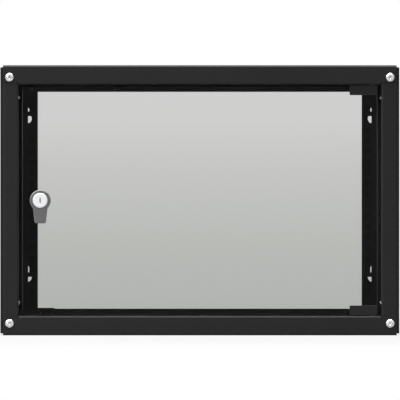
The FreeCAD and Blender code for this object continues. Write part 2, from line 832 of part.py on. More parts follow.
def mounting_rail(label, side):
    """Rack rail: an angle with three square holes in each rack unit."""
    body = new_body(label)
    skin = Dims.frame_sheet
    inner = side * (OPENING_X - Dims.rail_reach)
    outer = side * BAR_X
    outer_inside = side * OPENING_X
    back = RAIL_Y + Dims.rail_side
    section = new_sketch(body, "XY_Plane")
    polygon(section, [
        (inner, RAIL_Y), (outer, RAIL_Y), (outer, back), (outer_inside, back),
        (outer_inside, RAIL_Y + skin), (inner, RAIL_Y + skin)])
    pad(body, section, RAIL_LENGTH)
    round_edges(body, Dims.bend_radius, [(outer, RAIL_Y, 0)])
    round_edges(body, POST_INNER_RADIUS, [(outer_inside, RAIL_Y + skin, 0)])

    screw_holes = new_sketch(body, "YZ_Plane", side * (OPENING_X + skin / 2))
    for y in RAIL_SCREW_YS:
        for end in (LOWER, UPPER):
            circle(screw_holes, y, end * BAR_Z, RAIL_HOLE)
    pocket(body, screw_holes, skin * 2)

    # Square holes of the lowest unit, repeated once for every unit.
    holes = new_sketch(body, "XZ_Plane", RAIL_Y + skin / 2)
    half = Dims.rack_hole_size / 2
    x = side * (OPENING_X - Dims.rail_hole_inset)
    lowest = -Dims.rack_unit_height * RACK_UNITS / 2 + Dims.hole_inset
    for number in range(HOLES_PER_UNIT):
        level = lowest + number * Dims.hole_step
        rectangle(holes, x - half, level - half, x + half, level + half)
    unit_holes = pocket(body, holes, skin * 2)
    repeat(body, unit_holes, "Z_Axis", Dims.rack_unit_height * (RACK_UNITS - 1), RACK_UNITS)
    return body


for side, side_name in ((LEFT, "left"), (RIGHT, "right")):
    depth_bracket(f"depth_bracket_upper_{side_name}", side, UPPER)
    depth_bracket(f"depth_bracket_lower_{side_name}", side, LOWER)
    mounting_rail(f"mounting_rail_{side_name}", side)


# ---------------------------------------------------------------- frame fixings

def four_corners(x, z):
    """Both sides and both ends, as (side, end, x, z)."""
    return [(side, end, side * x, end * z) for side in (LEFT, RIGHT) for end in (LOWER, UPPER)]


corner_screw = pan_screw("corner_screw_pattern", Dims.corner_head_radius,
                         Dims.corner_head_height, Dims.corner_shank_radius,
                         Dims.corner_screw_length)
group("corner_screws", corner_screw, [
    (x, FRONT, z, pointing(0, -1, 0, twist=20.0 + 25.0 * side + 10.0 * end))
    for side, end, x, z in four_corners(CORNER_X, CORNER_Z)])

corner_nut = hex_nut("corner_nut_pattern", Dims.corner_nut_radius, Dims.corner_shank_radius,
                     Dims.nut_height * 1.5)
group("corner_nuts", corner_nut, [
    (x, POST_Y + Dims.frame_sheet, z, pointing(0, 1, 0))
    for side, end, x, z in four_corners(CORNER_X, CORNER_Z)])

rear_screw_length = Dims.frame_sheet + Dims.cover_sheet + Dims.nut_height + Dims.thread_end
rear_screw = countersunk_screw("rear_screw_pattern", Dims.small_head_radius,
                               Dims.small_shank_radius, rear_screw_length)
group("rear_screws", rear_screw, [
    (x, 0, z, pointing(0, 1, 0, twist=35.0 * side + 15.0 * end))
    for side, end, x, z in four_corners(CORNER_X, CORNER_Z)])
small_nut = hex_nut("small_nut_pattern", Dims.small_nut_radius, Dims.small_shank_radius,
                    Dims.nut_height)
group("rear_nuts", small_nut, [
    (x, -Dims.frame_sheet - Dims.cover_sheet, z, pointing(0, -1, 0))
    for side, end, x, z in four_corners(CORNER_X, CORNER_Z)])

group("bracket_rear_screws", rear_screw, [
    (x, 0, z, pointing(0, 1, 0, twist=-20.0 * side + 30.0 * end))
    for side, end, x, z in four_corners(BAR_TAB_X, BAR_Z)])
group("bracket_rear_nuts", small_nut, [
    (x, BAR_TAB_Y, z, pointing(0, -1, 0))
    for side, end, x, z in four_corners(BAR_TAB_X, BAR_Z)])

bar_screw_length = Dims.frame_sheet * 2 + Dims.nut_height + Dims.thread_end
bar_screw = pan_screw("bracket_screw_pattern", Dims.small_head_radius,
                      Dims.small_head_height, Dims.small_shank_radius, bar_screw_length)
group("bracket_front_screws", bar_screw, [
    (x, BAR_SCREW_Y, z, pointing(-side, 0, 0, twist=12.0 * end))
    for side, end, x, z in four_corners(OPENING_X, BAR_Z)])
group("bracket_front_nuts", small_nut, [
    (x, BAR_SCREW_Y, z, pointing(side, 0, 0))
    for side, end, x, z in four_corners(BAR_OUTER_X, BAR_Z)])

rail_screw = pan_screw("rail_screw_pattern", Dims.rail_head_radius, Dims.rail_head_height,
                       Dims.rail_shank_radius, bar_screw_length)
group("rail_screws", rail_screw, [
    (x, y, z, pointing(-side, 0, 0, twist=17.0 * end))
    for side, end, x, z in four_corners(OPENING_X, BAR_Z) for y in RAIL_SCREW_YS])
rail_nut = hex_nut("rail_nut_pattern", Dims.rail_nut_radius, Dims.rail_shank_radius,
                   Dims.nut_height)
group("rail_nuts", rail_nut, [
    (x, y, z, pointing(side, 0, 0))
    for side, end, x, z in four_corners(BAR_OUTER_X, BAR_Z) for y in RAIL_SCREW_YS])

stud_nut = hex_nut("stud_nut_pattern", Dims.small_nut_radius, Dims.stud_radius,
                   Dims.nut_height)
group("side_panel_nuts", stud_nut, [
    (x, y, z, pointing(-side, 0, 0))
    for side, end, x, z in four_corners(POST_SHELF_X, STUD_Z) for y in STUD_YS])

entry_screw = pan_screw("entry_screw_pattern", Dims.small_head_radius,
                        Dims.small_head_height, Dims.small_shank_radius,
                        Dims.cover_sheet * 2)
group("entry_cover_screws", entry_screw, [
    (x, y, end * (PLATE_INSIDE - Dims.cover_sheet), pointing(0, 0, -end, twist=25.0))
    for end in (LOWER, UPPER) for x, y in entry_screws()])

# Earth stud, welded to the bottom cover, with its nut.
EARTH_X = -Dims.entry_width / 2 - Dims.earth_inset
EARTH_Y = -Dims.earth_inset
earth_stud = turned("earth_stud", [
    (0, 0), (Dims.earth_radius, 0), (Dims.earth_radius, Dims.earth_length - Dims.tip_chamfer),
    (Dims.earth_radius - Dims.tip_chamfer, Dims.earth_length), (0, Dims.earth_length)])
place(earth_stud, EARTH_X, EARTH_Y, -PLATE_INSIDE)
earth_nut_pattern = hex_nut("earth_nut_pattern", Dims.corner_nut_radius, Dims.earth_radius,
                            Dims.nut_height * 1.5)
group("earth_nut", earth_nut_pattern, [(EARTH_X, EARTH_Y, -PLATE_INSIDE, pointing(0, 0, 1))])


# ---------------------------------------------------------------- door

def glass_pane():
    """Toughened glass door leaf with rounded corners, ground edges and a lock hole."""
    body = new_body("glass_pane")
    leaf = new_sketch(body, "XZ_Plane", GLASS_MIDDLE_Y)
    rectangle(leaf, -GLASS_X, -GLASS_Z, GLASS_X, GLASS_Z)
    circle(leaf, LOCK_X, 0, Dims.lock_barrel_radius + Dims.screw_clearance)
    pad(body, leaf, Dims.glass_thickness)
    round_edges(body, Dims.glass_corner_radius, [
        (side * GLASS_X, GLASS_MIDDLE_Y, end * GLASS_Z)
        for side in (LEFT, RIGHT) for end in (LOWER, UPPER)])
    chamfer_edges(body, Dims.glass_arris, [
        (x, y, z) for y in (GLASS_FRONT_Y, GLASS_BACK_Y)
        for x, z in ((-GLASS_X, 0), (GLASS_X, 0), (0, GLASS_Z), (0, -GLASS_Z))])
    return body


CLIP_MIDDLE_X = GLASS_X - Dims.clip_width / 2
CLIP_WEB_Z = GLASS_Z + Dims.clip_seat_gap
CLIP_TOP_Z = CLIP_WEB_Z + Dims.clip_web
CLIP_LOW_Z = CLIP_TOP_Z - Dims.clip_height
CLIP_FRONT_Y = GLASS_FRONT_Y - Dims.pad_thickness - Dims.clip_front
CLIP_REAR_Y = GLASS_BACK_Y + Dims.pad_thickness + Dims.clip_rear
CLAMP_Z = (CLIP_LOW_Z + CLIP_WEB_Z) / 2
CLAMP_XS = [CLIP_MIDDLE_X - Dims.clamp_inset, CLIP_MIDDLE_X + Dims.clamp_inset]


def hinge_clip(label, end):
    """Hinge clip: a saddle over the glass edge, clamped by two set screws behind."""
    body = new_body(label)
    front_seat = GLASS_FRONT_Y - Dims.pad_thickness
    rear_seat = GLASS_BACK_Y + Dims.pad_thickness
    section = new_sketch(body, "YZ_Plane", CLIP_MIDDLE_X)
    outline = [(CLIP_FRONT_Y, CLIP_TOP_Z), (CLIP_REAR_Y, CLIP_TOP_Z), (CLIP_REAR_Y, CLIP_LOW_Z),
               (rear_seat, CLIP_LOW_Z), (rear_seat, CLIP_WEB_Z), (front_seat, CLIP_WEB_Z),
               (front_seat, CLIP_LOW_Z), (CLIP_FRONT_Y, CLIP_LOW_Z)]
    polygon(section, [(y, end * z) for y, z in outline])
    pad(body, section, Dims.clip_width)
    free_x = CLIP_MIDDLE_X - Dims.clip_width / 2
    jaws = [(CLIP_FRONT_Y + front_seat) / 2, (CLIP_REAR_Y + rear_seat) / 2]
    round_edges(body, Dims.clip_corner, [(free_x, y, end * CLIP_LOW_Z) for y in jaws])
    round_edges(body, Dims.clip_front / 3, [
        (CLIP_MIDDLE_X, CLIP_FRONT_Y, end * CLIP_TOP_Z),
        (CLIP_MIDDLE_X, CLIP_FRONT_Y, end * CLIP_LOW_Z),
        (free_x, CLIP_FRONT_Y, end * CLAMP_Z),
        (GLASS_X, CLIP_FRONT_Y, end * CLAMP_Z)])

    pin_hole = new_sketch(body, "XY_Plane", end * (CLIP_TOP_Z - Dims.clip_web / 2))
    circle(pin_hole, PIVOT_X, GLASS_MIDDLE_Y, Dims.pin_rivet_radius)
    pocket(body, pin_hole, Dims.clip_web * 2)
    clamp_holes = new_sketch(body, "XZ_Plane", CLIP_REAR_Y - Dims.clip_rear / 2)
    for x in CLAMP_XS:
        circle(clamp_holes, x, end * CLAMP_Z, Dims.small_shank_radius)
    pocket(body, clamp_holes, Dims.clip_rear * 1.2)
    return body


glass_pane()
hinge_clip("hinge_clip_upper", UPPER)
hinge_clip("hinge_clip_lower", LOWER)

pad_pattern = new_body("hinge_pad_pattern")
block(pad_pattern,
      (Dims.pad_margin - Dims.clip_width / 2, Dims.clip_width / 2 - Dims.pad_margin),
      (as_size(0), Dims.pad_thickness),
      (CLIP_LOW_Z - CLAMP_Z + Dims.pad_margin / 2, GLASS_Z - CLAMP_Z - Dims.pad_margin / 2))
group("hinge_pads", pad_pattern, [
    (CLIP_MIDDLE_X, y, end * CLAMP_Z, FreeCAD.Rotation())
    for y in (GLASS_FRONT_Y - Dims.pad_thickness, GLASS_BACK_Y) for end in (LOWER, UPPER)])

pin_pattern = turned("hinge_pin_pattern", [
    (0, -Dims.clip_web), (Dims.pin_rivet_radius, -Dims.clip_web), (Dims.pin_rivet_radius, 0),
    (Dims.pin_radius, 0), (Dims.pin_radius, Dims.pin_length - Dims.tip_chamfer),
    (Dims.pin_radius - Dims.tip_chamfer, Dims.pin_length), (0, Dims.pin_length)])
group("hinge_pins", pin_pattern, [
    (PIVOT_X, GLASS_MIDDLE_Y, end * CLIP_TOP_Z, pointing(0, 0, end)) for end in (LOWER, UPPER)])

bush_bore = Dims.pin_radius + Dims.running_gap
bush_pattern = turned("hinge_bush_pattern", [
    (bush_bore, -Dims.bush_flange), (Dims.bush_flange_radius, -Dims.bush_flange),
    (Dims.bush_flange_radius, 0), (Dims.bush_radius, 0), (Dims.bush_radius, Dims.bush_length),
    (bush_bore, Dims.bush_length)])
group("hinge_bushes", bush_pattern, [
    (PIVOT_X, GLASS_MIDDLE_Y, end * OPENING_Z, pointing(0, 0, end)) for end in (LOWER, UPPER)])

set_screw = turned("clamp_screw_pattern", [
    (0, 0), (Dims.small_shank_radius, 0),
    (Dims.small_shank_radius, Dims.clamp_screw_length), (0, Dims.clamp_screw_length)])
cross_recess(set_screw, Dims.clamp_screw_length, Dims.small_shank_radius * 0.6,
             Dims.small_shank_radius * 0.4, Dims.small_shank_radius * 0.6)
group("clamp_screws", set_screw, [
    (x, GLASS_BACK_Y + Dims.pad_thickness, end * CLAMP_Z, pointing(0, 1, 0))
    for x in CLAMP_XS for end in (LOWER, UPPER)])


# ---------------------------------------------------------------- lock
# Lock pieces are drawn about their own Z axis.  Z 0 is the front of the glass, +Z points
# out of the cabinet and +Y is up once they are placed.

KNOB_BACK = Dims.glass_recess - Dims.cover_sheet + Dims.knob_lift
KNOB_FRONT = KNOB_BACK + Dims.knob_thickness
GLASS_BACK = -Dims.glass_thickness
BARREL_END = GLASS_BACK - Dims.lock_barrel_reach
CAM_FRONT = BARREL_END - Dims.lock_seat_gap
CAM_BACK = CAM_FRONT - Dims.cam_sheet
BARREL_HOLE = Dims.lock_barrel_radius + Dims.screw_clearance
SPINDLE_BORE = Dims.spindle_radius + Dims.running_gap
PLUG_FLOOR = KNOB_FRONT - Dims.plug_recess
RING = Dims.pad_thickness


def place_on_lock(piece):
    place(piece, LOCK_X, GLASS_FRONT_Y, 0, TO_FRONT)
    return piece


place_on_lock(ring("lock_gasket", BARREL_HOLE, Dims.lock_ring_radius, 0, RING))
place_on_lock(ring("lock_washer", BARREL_HOLE, Dims.lock_ring_radius,
                   GLASS_BACK - RING, GLASS_BACK))

flange_front = KNOB_BACK - Dims.lock_seat_gap
lock_housing = place_on_lock(turned("lock_housing", [
    (SPINDLE_BORE, BARREL_END), (Dims.lock_barrel_radius, BARREL_END),
    (Dims.lock_barrel_radius, RING), (Dims.lock_flange_radius, RING),
    (Dims.lock_flange_radius, flange_front), (SPINDLE_BORE, flange_front)]))

lock_nut = hex_nut("lock_nut_pattern", Dims.lock_nut_radius, Dims.lock_barrel_radius,
                   Dims.lock_nut_height)
group("lock_nut", lock_nut, [
    (LOCK_X, GLASS_BACK_Y + RING, 0, pointing(0, 1, 0, twist=10.0))])


def lock_knob():
    """Wing knob: a round head with a tapered tail, its spindle and a square end."""
    body = new_body("lock_knob")
    middle = (KNOB_BACK + KNOB_FRONT) / 2
    head = new_sketch(body, "XY_Plane", middle)
    circle(head, 0, 0, Dims.knob_radius)
    pad(body, head, Dims.knob_thickness)
    tail = new_sketch(body, "XY_Plane", middle)
    root, tip = Dims.tail_root_width / 2, Dims.tail_tip_width / 2
    polygon(tail, [(-root, 0), (-tip, -Dims.tail_reach), (tip, -Dims.tail_reach), (root, 0)])
    pad(body, tail, Dims.knob_thickness)
    round_edges(body, Dims.tail_corner, [
        (-tip, -Dims.tail_reach, middle), (tip, -Dims.tail_reach, middle)])
    round_edges(body, Dims.knob_edge, [(0, Dims.knob_radius, KNOB_FRONT),
                                       (0, -Dims.tail_reach, KNOB_FRONT)])

    spindle = new_sketch(body, "XY_Plane", (KNOB_BACK + CAM_FRONT) / 2)
    circle(spindle, 0, 0, Dims.spindle_radius)
    pad(body, spindle, KNOB_BACK - CAM_FRONT)
    square = new_sketch(body, "XY_Plane", (CAM_FRONT + CAM_BACK) / 2)
    half = Dims.spindle_square / 2
    rectangle(square, -half, -half, half, half)
    pad(body, square, Dims.cam_sheet)

    recess = new_sketch(body, "XY_Plane", KNOB_FRONT)
    circle(recess, 0, 0, Dims.plug_radius + Dims.running_gap)
    pocket(body, recess, Dims.plug_recess * 2)
    core_length = Dims.plug_core_length + Dims.running_gap * 4
    core = new_sketch(body, "XY_Plane", PLUG_FLOOR - core_length / 2)
    circle(core, 0, 0, Dims.plug_core_radius + Dims.running_gap)
    pocket(body, core, core_length)
    thread = new_sketch(body, "XY_Plane", CAM_BACK)
    circle(thread, 0, 0, Dims.small_shank_radius)
    pocket(body, thread, Dims.cam_screw_length * 2)
    return body


def lock_cam():
    """Cam: a flat arm with a round tip, hanging down while the door is free."""
    body = new_body("lock_cam")
    arm = new_sketch(body, "XY_Plane", (CAM_FRONT + CAM_BACK) / 2)
    radius = Dims.cam_width / 2
    slot(arm, 0, radius - Dims.cam_reach, Dims.cam_reach - radius, radius, upright=True)
    half = Dims.spindle_square / 2
    rectangle(arm, -half, -half, half, half)
    pad(body, arm, Dims.cam_sheet)
    return body


def key_plug():
    """Key plug: a bright disc with a key slot, on a core that reaches into the spindle."""
    floor = PLUG_FLOOR + Dims.running_gap
    face = KNOB_FRONT + Dims.plug_proud
    body = turned("key_plug", [
        (0, floor - Dims.plug_core_length), (Dims.plug_core_radius, floor - Dims.plug_core_length),
        (Dims.plug_core_radius, floor), (Dims.plug_radius, floor), (Dims.plug_radius, face),
        (0, face)])
    round_edges(body, Dims.plug_proud * 0.6, [(Dims.plug_radius, 0, face)])
    key_slot = new_sketch(body, "XY_Plane", face)
    half_width, half_height = Dims.key_slot_width / 2, Dims.key_slot_height / 2
    rectangle(key_slot, -half_width, -half_height, half_width, half_height)
    pocket(body, key_slot, Dims.key_slot_depth * 2)
    return body


place_on_lock(lock_knob())
place_on_lock(lock_cam())
place_on_lock(key_plug())
cam_screw = pan_screw("cam_screw_pattern", Dims.rail_head_radius, Dims.small_head_height,
                      Dims.small_shank_radius, Dims.cam_screw_length)
group("cam_screw", cam_screw, [
    (LOCK_X, GLASS_FRONT_Y - CAM_BACK, 0, pointing(0, 1, 0, twist=15.0))])


# ---------------------------------------------------------------- catch and buffers

CATCH_LEFT = Dims.catch_inset - GLASS_X
CATCH_RIGHT = CATCH_LEFT + Dims.catch_width
CATCH_FRONT_Y = GLASS_BACK_Y + Dims.strike_plate + Dims.catch_gap
CATCH_LOW = -OPENING_Z
CATCH_HIGH = CATCH_LOW + Dims.catch_height
CATCH_SCREW_Z = (CATCH_LOW + CATCH_HIGH + Dims.lip_drop - Dims.catch_height) / 2
CATCH_SCREW_XS = [CATCH_LEFT + Dims.catch_screw_inset, CATCH_RIGHT - Dims.catch_screw_inset]


def door_catch():
    """Magnet catch behind the door's low corner, rounded at its free end."""
    body = new_body("door_catch")
    block(body, (CATCH_LEFT, CATCH_RIGHT), (CATCH_FRONT_Y, LIP_Y), (CATCH_LOW, CATCH_HIGH))
    middle_y = (CATCH_FRONT_Y + LIP_Y) / 2
    round_edges(body, Dims.catch_corner, [
        (CATCH_RIGHT, middle_y, CATCH_LOW), (CATCH_RIGHT, middle_y, CATCH_HIGH)])
    chamfer_edges(body, BEND_INSIDE, [((CATCH_LEFT + CATCH_RIGHT) / 2, LIP_Y, CATCH_LOW)])
    threads = new_sketch(body, "XZ_Plane", LIP_Y)
    for x in CATCH_SCREW_XS:
        circle(threads, x, CATCH_SCREW_Z, Dims.small_shank_radius)
    pocket(body, threads, Dims.catch_screw_bite * 2)


door_catch()
lip_holes = new_sketch(bottom_cover, "XZ_Plane", LIP_Y)
for x in CATCH_SCREW_XS:
    circle(lip_holes, x, CATCH_SCREW_Z, SMALL_HOLE)
pocket(bottom_cover, lip_holes, Dims.cover_sheet * 4)
catch_screw = pan_screw("catch_screw_pattern", Dims.small_head_radius,
                        Dims.small_head_height, Dims.small_shank_radius,
                        Dims.cover_sheet + Dims.catch_screw_bite)
group("catch_screws", catch_screw, [
    (x, LIP_Y + Dims.cover_sheet, CATCH_SCREW_Z, pointing(0, 1, 0, twist=30.0))
    for x in CATCH_SCREW_XS])

strike_plate = new_body("catch_plate")
block(strike_plate, (CATCH_LEFT + Dims.plate_margin, CATCH_RIGHT - Dims.plate_margin),
      (GLASS_BACK_Y, GLASS_BACK_Y + Dims.strike_plate),
      (-GLASS_Z + Dims.glass_arris, CATCH_HIGH - Dims.glass_arris))

buffer_length = LIP_Y - GLASS_BACK_Y - Dims.buffer_gap
buffer_pattern = turned("door_buffer_pattern", [
    (0, 0), (Dims.buffer_radius, 0), (Dims.buffer_radius, buffer_length), (0, buffer_length)])
round_edges(buffer_pattern, Dims.buffer_radius * 0.4, [(Dims.buffer_radius, 0, buffer_length)])
buffer_x = GLASS_X - Dims.buffer_inset
group("door_buffers", buffer_pattern, [
    (x, LIP_Y, LIP_Z + Dims.buffer_radius + Dims.buffer_gap, pointing(0, -1, 0))
    for x in (-buffer_x, -buffer_x / 2)])


# ---------------------------------------------------------------- checks and export

def sub_parts():
    """Every object that is a piece of the cabinet, in the order it was made."""
    inside = set()
    for item in doc.Objects:
        if item.isDerivedFrom("Part::Cut"):
            inside.update((item.Base.Name, item.Tool.Name))
        elif item.isDerivedFrom("Part::Compound"):
            inside.update(link.LinkedObject.Name for link in item.Links)
    kinds = ("PartDesign::Body", "Part::Compound")
    return [item for item in doc.Objects if item.TypeId in kinds and item.Name not in inside]


doc.recompute()
for item in doc.Objects:
    if "Invalid" in item.State or "Error" in item.State:
        raise RuntimeError(f"{item.Name} is {item.State}")
pieces = sub_parts()
for item in pieces:
    if item.Shape.isNull() or not item.Shape.isValid():
        raise RuntimeError(f"{item.Label} has no valid shape")

os.makedirs("parts", exist_ok=True)
for item in pieces:
    item.Shape.exportStep(f"parts/{item.Label}.step")
    print(f"{item.Label}: {len(item.Shape.Solids)} solid(s), {item.Shape.Volume:.0f} mm3")
print(f"{len(pieces)} sub-parts")
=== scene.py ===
# %% [markdown]
# # Wall mount network cabinet
#
# A steel cabinet for six units of rack equipment: powder-coated sheet round a tinted glass
# door.  Its solids come from CAD and stay where they are.  This lesson gives each of them
# its finish, and remakes the small turned, threaded and cast pieces as smooth surfaces.
#
# The first cell loads the frame and keeps the size of the CAD model, because nothing that
# is added later may make the cabinet larger.

# %% Load the frame
import json
import math

import bmesh
import bpy
import numpy as np
from mathutils import Matrix, Vector


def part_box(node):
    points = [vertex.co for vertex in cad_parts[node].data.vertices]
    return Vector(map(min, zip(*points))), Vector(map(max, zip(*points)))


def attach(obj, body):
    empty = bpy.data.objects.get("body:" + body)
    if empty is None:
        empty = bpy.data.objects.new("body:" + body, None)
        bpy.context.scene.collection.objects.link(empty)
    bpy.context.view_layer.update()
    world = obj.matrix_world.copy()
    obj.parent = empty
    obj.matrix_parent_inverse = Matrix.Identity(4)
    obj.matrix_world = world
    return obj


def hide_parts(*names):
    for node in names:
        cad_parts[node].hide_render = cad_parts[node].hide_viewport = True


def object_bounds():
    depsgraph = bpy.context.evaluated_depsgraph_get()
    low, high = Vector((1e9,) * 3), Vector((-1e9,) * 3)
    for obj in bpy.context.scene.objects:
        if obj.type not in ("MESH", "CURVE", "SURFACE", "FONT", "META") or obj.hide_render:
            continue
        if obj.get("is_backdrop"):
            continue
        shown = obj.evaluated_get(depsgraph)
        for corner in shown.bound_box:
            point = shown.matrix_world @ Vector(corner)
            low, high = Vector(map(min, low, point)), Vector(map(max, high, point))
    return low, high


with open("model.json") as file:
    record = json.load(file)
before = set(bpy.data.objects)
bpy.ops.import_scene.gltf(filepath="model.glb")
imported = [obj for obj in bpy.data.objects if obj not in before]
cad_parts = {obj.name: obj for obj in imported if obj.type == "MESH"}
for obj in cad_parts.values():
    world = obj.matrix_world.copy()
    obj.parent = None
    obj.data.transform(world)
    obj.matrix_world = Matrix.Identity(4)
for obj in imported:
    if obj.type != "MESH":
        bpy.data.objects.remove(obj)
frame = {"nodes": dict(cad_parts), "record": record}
nodes = frame["nodes"]
cad_low, cad_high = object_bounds()
print("cabinet", [round(high - low, 4) for low, high in zip(cad_low, cad_high)])

# %% [markdown]
# ## Values that can be added and multiplied
#
# A material is a net of nodes.  Placing and linking each node by hand hides the idea, so a
# small class wraps one output of a node: `1 - mask * 0.3` then adds the Math nodes by
# itself.  Everything that isn't arithmetic comes from one method, `node`.

# %% Values and finishes
class Value:
    """One output of a node; arithmetic on it adds the Math node that works it out."""

    def __init__(self, finish, socket):
        self.finish = finish
        self.socket = socket

    def __add__(self, other):
        return self.finish.math("ADD", self, other)

    def __sub__(self, other):
        return self.finish.math("SUBTRACT", self, other)

    def __mul__(self, other):
        return self.finish.math("MULTIPLY", self, other)

    def __rsub__(self, other):
        return self.finish.math("SUBTRACT", other, self)

    __radd__ = __add__
    __rmul__ = __mul__


class Finish:
    """A material, or the world, being put together from nodes."""

    def __init__(self, owner):
        self.owner = owner
        owner.use_nodes = True
        self.tree = owner.node_tree
        self.tree.nodes.clear()

    def node(self, kind, settings=None, sockets=None, output=0):
        """Add a node: its settings first, then a number or a link for each socket."""
        made = self.tree.nodes.new(kind)
        for name, setting in (settings or {}).items():
            if name == "stops":
                self.set_stops(made.color_ramp, setting)
            else:
                setattr(made, name, setting)
        for name, value in (sockets or {}).items():
            if isinstance(value, Value):
                self.tree.links.new(value.socket, made.inputs[name])
            else:
                made.inputs[name].default_value = value
        return Value(self, made.outputs[output]) if len(made.outputs) else self.owner

    def math(self, operation, *values):
        """A Math node over values, numbers or both."""
        return self.node("ShaderNodeMath", {"operation": operation}, dict(enumerate(values)))

    def set_stops(self, ramp, stops):
        """Stops of a ramp as (position, colour) from left to right."""
        while len(ramp.elements) < len(stops):
            ramp.elements.new(1.0)
        for element, (position, colour) in zip(ramp.elements, stops):
            element.position = position
            element.color = colour

    def step(self, value, low, high):
        """0 below low, 1 above high and a smooth rise between them."""
        return self.node("ShaderNodeMapRange", {"interpolation_type": "SMOOTHSTEP"},
                         {"Value": value, "From Min": low, "From Max": high})

    def mix(self, factor, first, second):
        """A colour that goes from the first to the second as factor goes from 0 to 1."""
        return self.node("ShaderNodeMix", {"data_type": "RGBA"},
                         {0: factor, 6: first, 7: second}, 2)

    def light_path(self, *names):
        """What kind of ray asks for the colour, one Value for each name."""
        outputs = self.node("ShaderNodeLightPath").socket.node.outputs
        return [Value(self, outputs[name]) for name in names]

    def in_view(self):
        """1 for the camera's own line of sight, also where it goes on through glass."""
        camera, through, diffuse, glossy = self.light_path(
            "Is Camera Ray", "Is Transmission Ray", "Diffuse Depth", "Glossy Depth")
        unbroken = 1 - self.math("MINIMUM", diffuse + glossy, 1.0)
        return self.math("MAXIMUM", camera, through * unbroken)

    def place(self):
        """Where a point is on the cabinet at rest, in metres."""
        return self.node("ShaderNodeTexCoord", output="Object")

    def along(self, place):
        """The three coordinates of a place, as Values."""
        apart = self.node("ShaderNodeSeparateXYZ", {}, {0: place})
        outputs = apart.socket.node.outputs
        return [Value(self, outputs[axis]) for axis in range(3)]

    def noise(self, place, scale, detail=2.0):
        """Soft noise, about 0 to 1, with scale lumps in each metre."""
        return self.node("ShaderNodeTexNoise", {},
                         {"Vector": place, "Scale": scale, "Detail": detail})

    def bump(self, height, depth):
        """A normal that shows the height, 0 to 1, as relief of this depth in metres."""
        return self.node("ShaderNodeBump", {}, {"Height": height, "Distance": depth},
                         "Normal")

    def shader(self, **sockets):
        """The standard surface; a name such as Base_Color stands for its socket."""
        named = {name.replace("_", " "): value for name, value in sockets.items()}
        return self.node("ShaderNodeBsdfPrincipled", {}, named)

    def done(self, shader):
        """Join the shader to the output, and give the finished material or world."""
        kind = "World" if isinstance(self.owner, bpy.types.World) else "Material"
        return self.node(f"ShaderNodeOutput{kind}", {}, {"Surface": shader})


def grey(level, warmth=0.0):
    """A colour of that brightness, from 0 to 1, a little red and less blue if warm."""
    return (level * (1 + warmth), level, level * (1 - warmth), 1.0)


print("values ready")

# %% [markdown]
# ## Light, floor and camera
#
# The cabinet is a product on a pale floor: one wide softbox above, one to the front left,
# and an even world.  Seen directly or through glass the world is plain white, but the light
# that it sheds is dimmer, so that colours come out as they are written.  In a mirror it is
# white well above and below the horizon, and greyer near it.  A studio is also dark where
# the camera stands, so the mirrored world is dark round one fixed direction in front.

# %% World
FILL = 0.38
HORIZON = 0.55
DARK_ROOM = 0.08
ROOM_DIRECTION = (0.0, -1.0, -0.02)


def studio_world():
    """White when looked at, dim as a light, and in mirrors dimmer near the horizon.

    A mirrored direction shows HORIZON when level and 1 from 30 degrees up or down, and
    DARK_ROOM within some 12 degrees of the camera's own place.
    """
    finish = Finish(bpy.data.worlds.new("studio"))
    seen = finish.in_view()
    mirrored, = finish.light_path("Is Glossy Ray")
    direction = finish.node("ShaderNodeTexCoord", output="Generated")
    height = finish.math("ABSOLUTE", finish.along(direction)[2])
    wall = HORIZON + finish.step(height, 0.05, 0.5) * (1 - HORIZON)
    facing = finish.node("ShaderNodeVectorMath", {"operation": "DOT_PRODUCT"},
                         {0: direction, 1: ROOM_DIRECTION}, "Value")
    room = finish.step(facing, 0.955, 0.985)
    reflected = wall + room * (DARK_ROOM - wall)
    unseen = FILL + mirrored * (reflected - FILL)
    strength = unseen + seen * (1 - unseen)
    return finish.done(finish.node("ShaderNodeBackground", {},
                                   {"Color": grey(1.0), "Strength": strength}))


bpy.context.scene.world = studio_world()
bpy.context.scene.view_settings.view_transform = "Standard"
print("world set")

# %% [markdown]
# The floor is a wide disc.  Near the cabinet it is a real pale surface and takes its
# shadow; farther off it fades to the world's white, so that no horizon shows, also not
# through the glass.

# %% Floor
FLOOR_RADIUS = 1.7
FLOOR_DROP = 0.0001


def mesh_piece(name, points, faces, material):
    """An object from points and faces, at the origin, with smooth shading."""
    mesh = bpy.data.meshes.new(name)
    mesh.from_pydata(points.tolist(), [], faces.tolist())
    mesh.polygons.foreach_set("use_smooth", np.ones(len(mesh.polygons), bool))
    mesh.materials.append(material)
    mesh.update()
    piece = bpy.data.objects.new(name, mesh)
    bpy.context.collection.objects.link(piece)
    return piece


def pale_floor():
    """Matt near the cabinet, plain white towards the rim."""
    finish = Finish(bpy.data.materials.new("pale_floor"))
    place = finish.place()
    distance = finish.node("ShaderNodeVectorMath", {"operation": "LENGTH"}, {0: place}, "Value")
    share = finish.in_view() * (0.75 + 0.25 * finish.step(distance, 0.7, 1.5))
    mottle = finish.noise(place, 30.0)
    matt = finish.shader(Base_Color=finish.mix(mottle, grey(0.29), grey(0.32)),
                         Roughness=0.8)
    glow = finish.node("ShaderNodeEmission", {}, {"Color": grey(1.0), "Strength": 1.0})
    return finish.done(finish.node("ShaderNodeMixShader", {}, {0: share, 1: matt, 2: glow}))


turns = np.linspace(0.0, 2 * np.pi, 97)[:-1]
rim = np.stack([FLOOR_RADIUS * np.cos(turns), FLOOR_RADIUS * np.sin(turns),
                np.full_like(turns, cad_low.z - FLOOR_DROP)], axis=1)
floor = mesh_piece("floor", rim, np.arange(len(rim))[None, :], pale_floor())
floor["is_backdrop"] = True
print("floor at", round(cad_low.z, 4))

# %% [markdown]
# A long lens far away shows the front with almost no perspective, as a catalogue does.

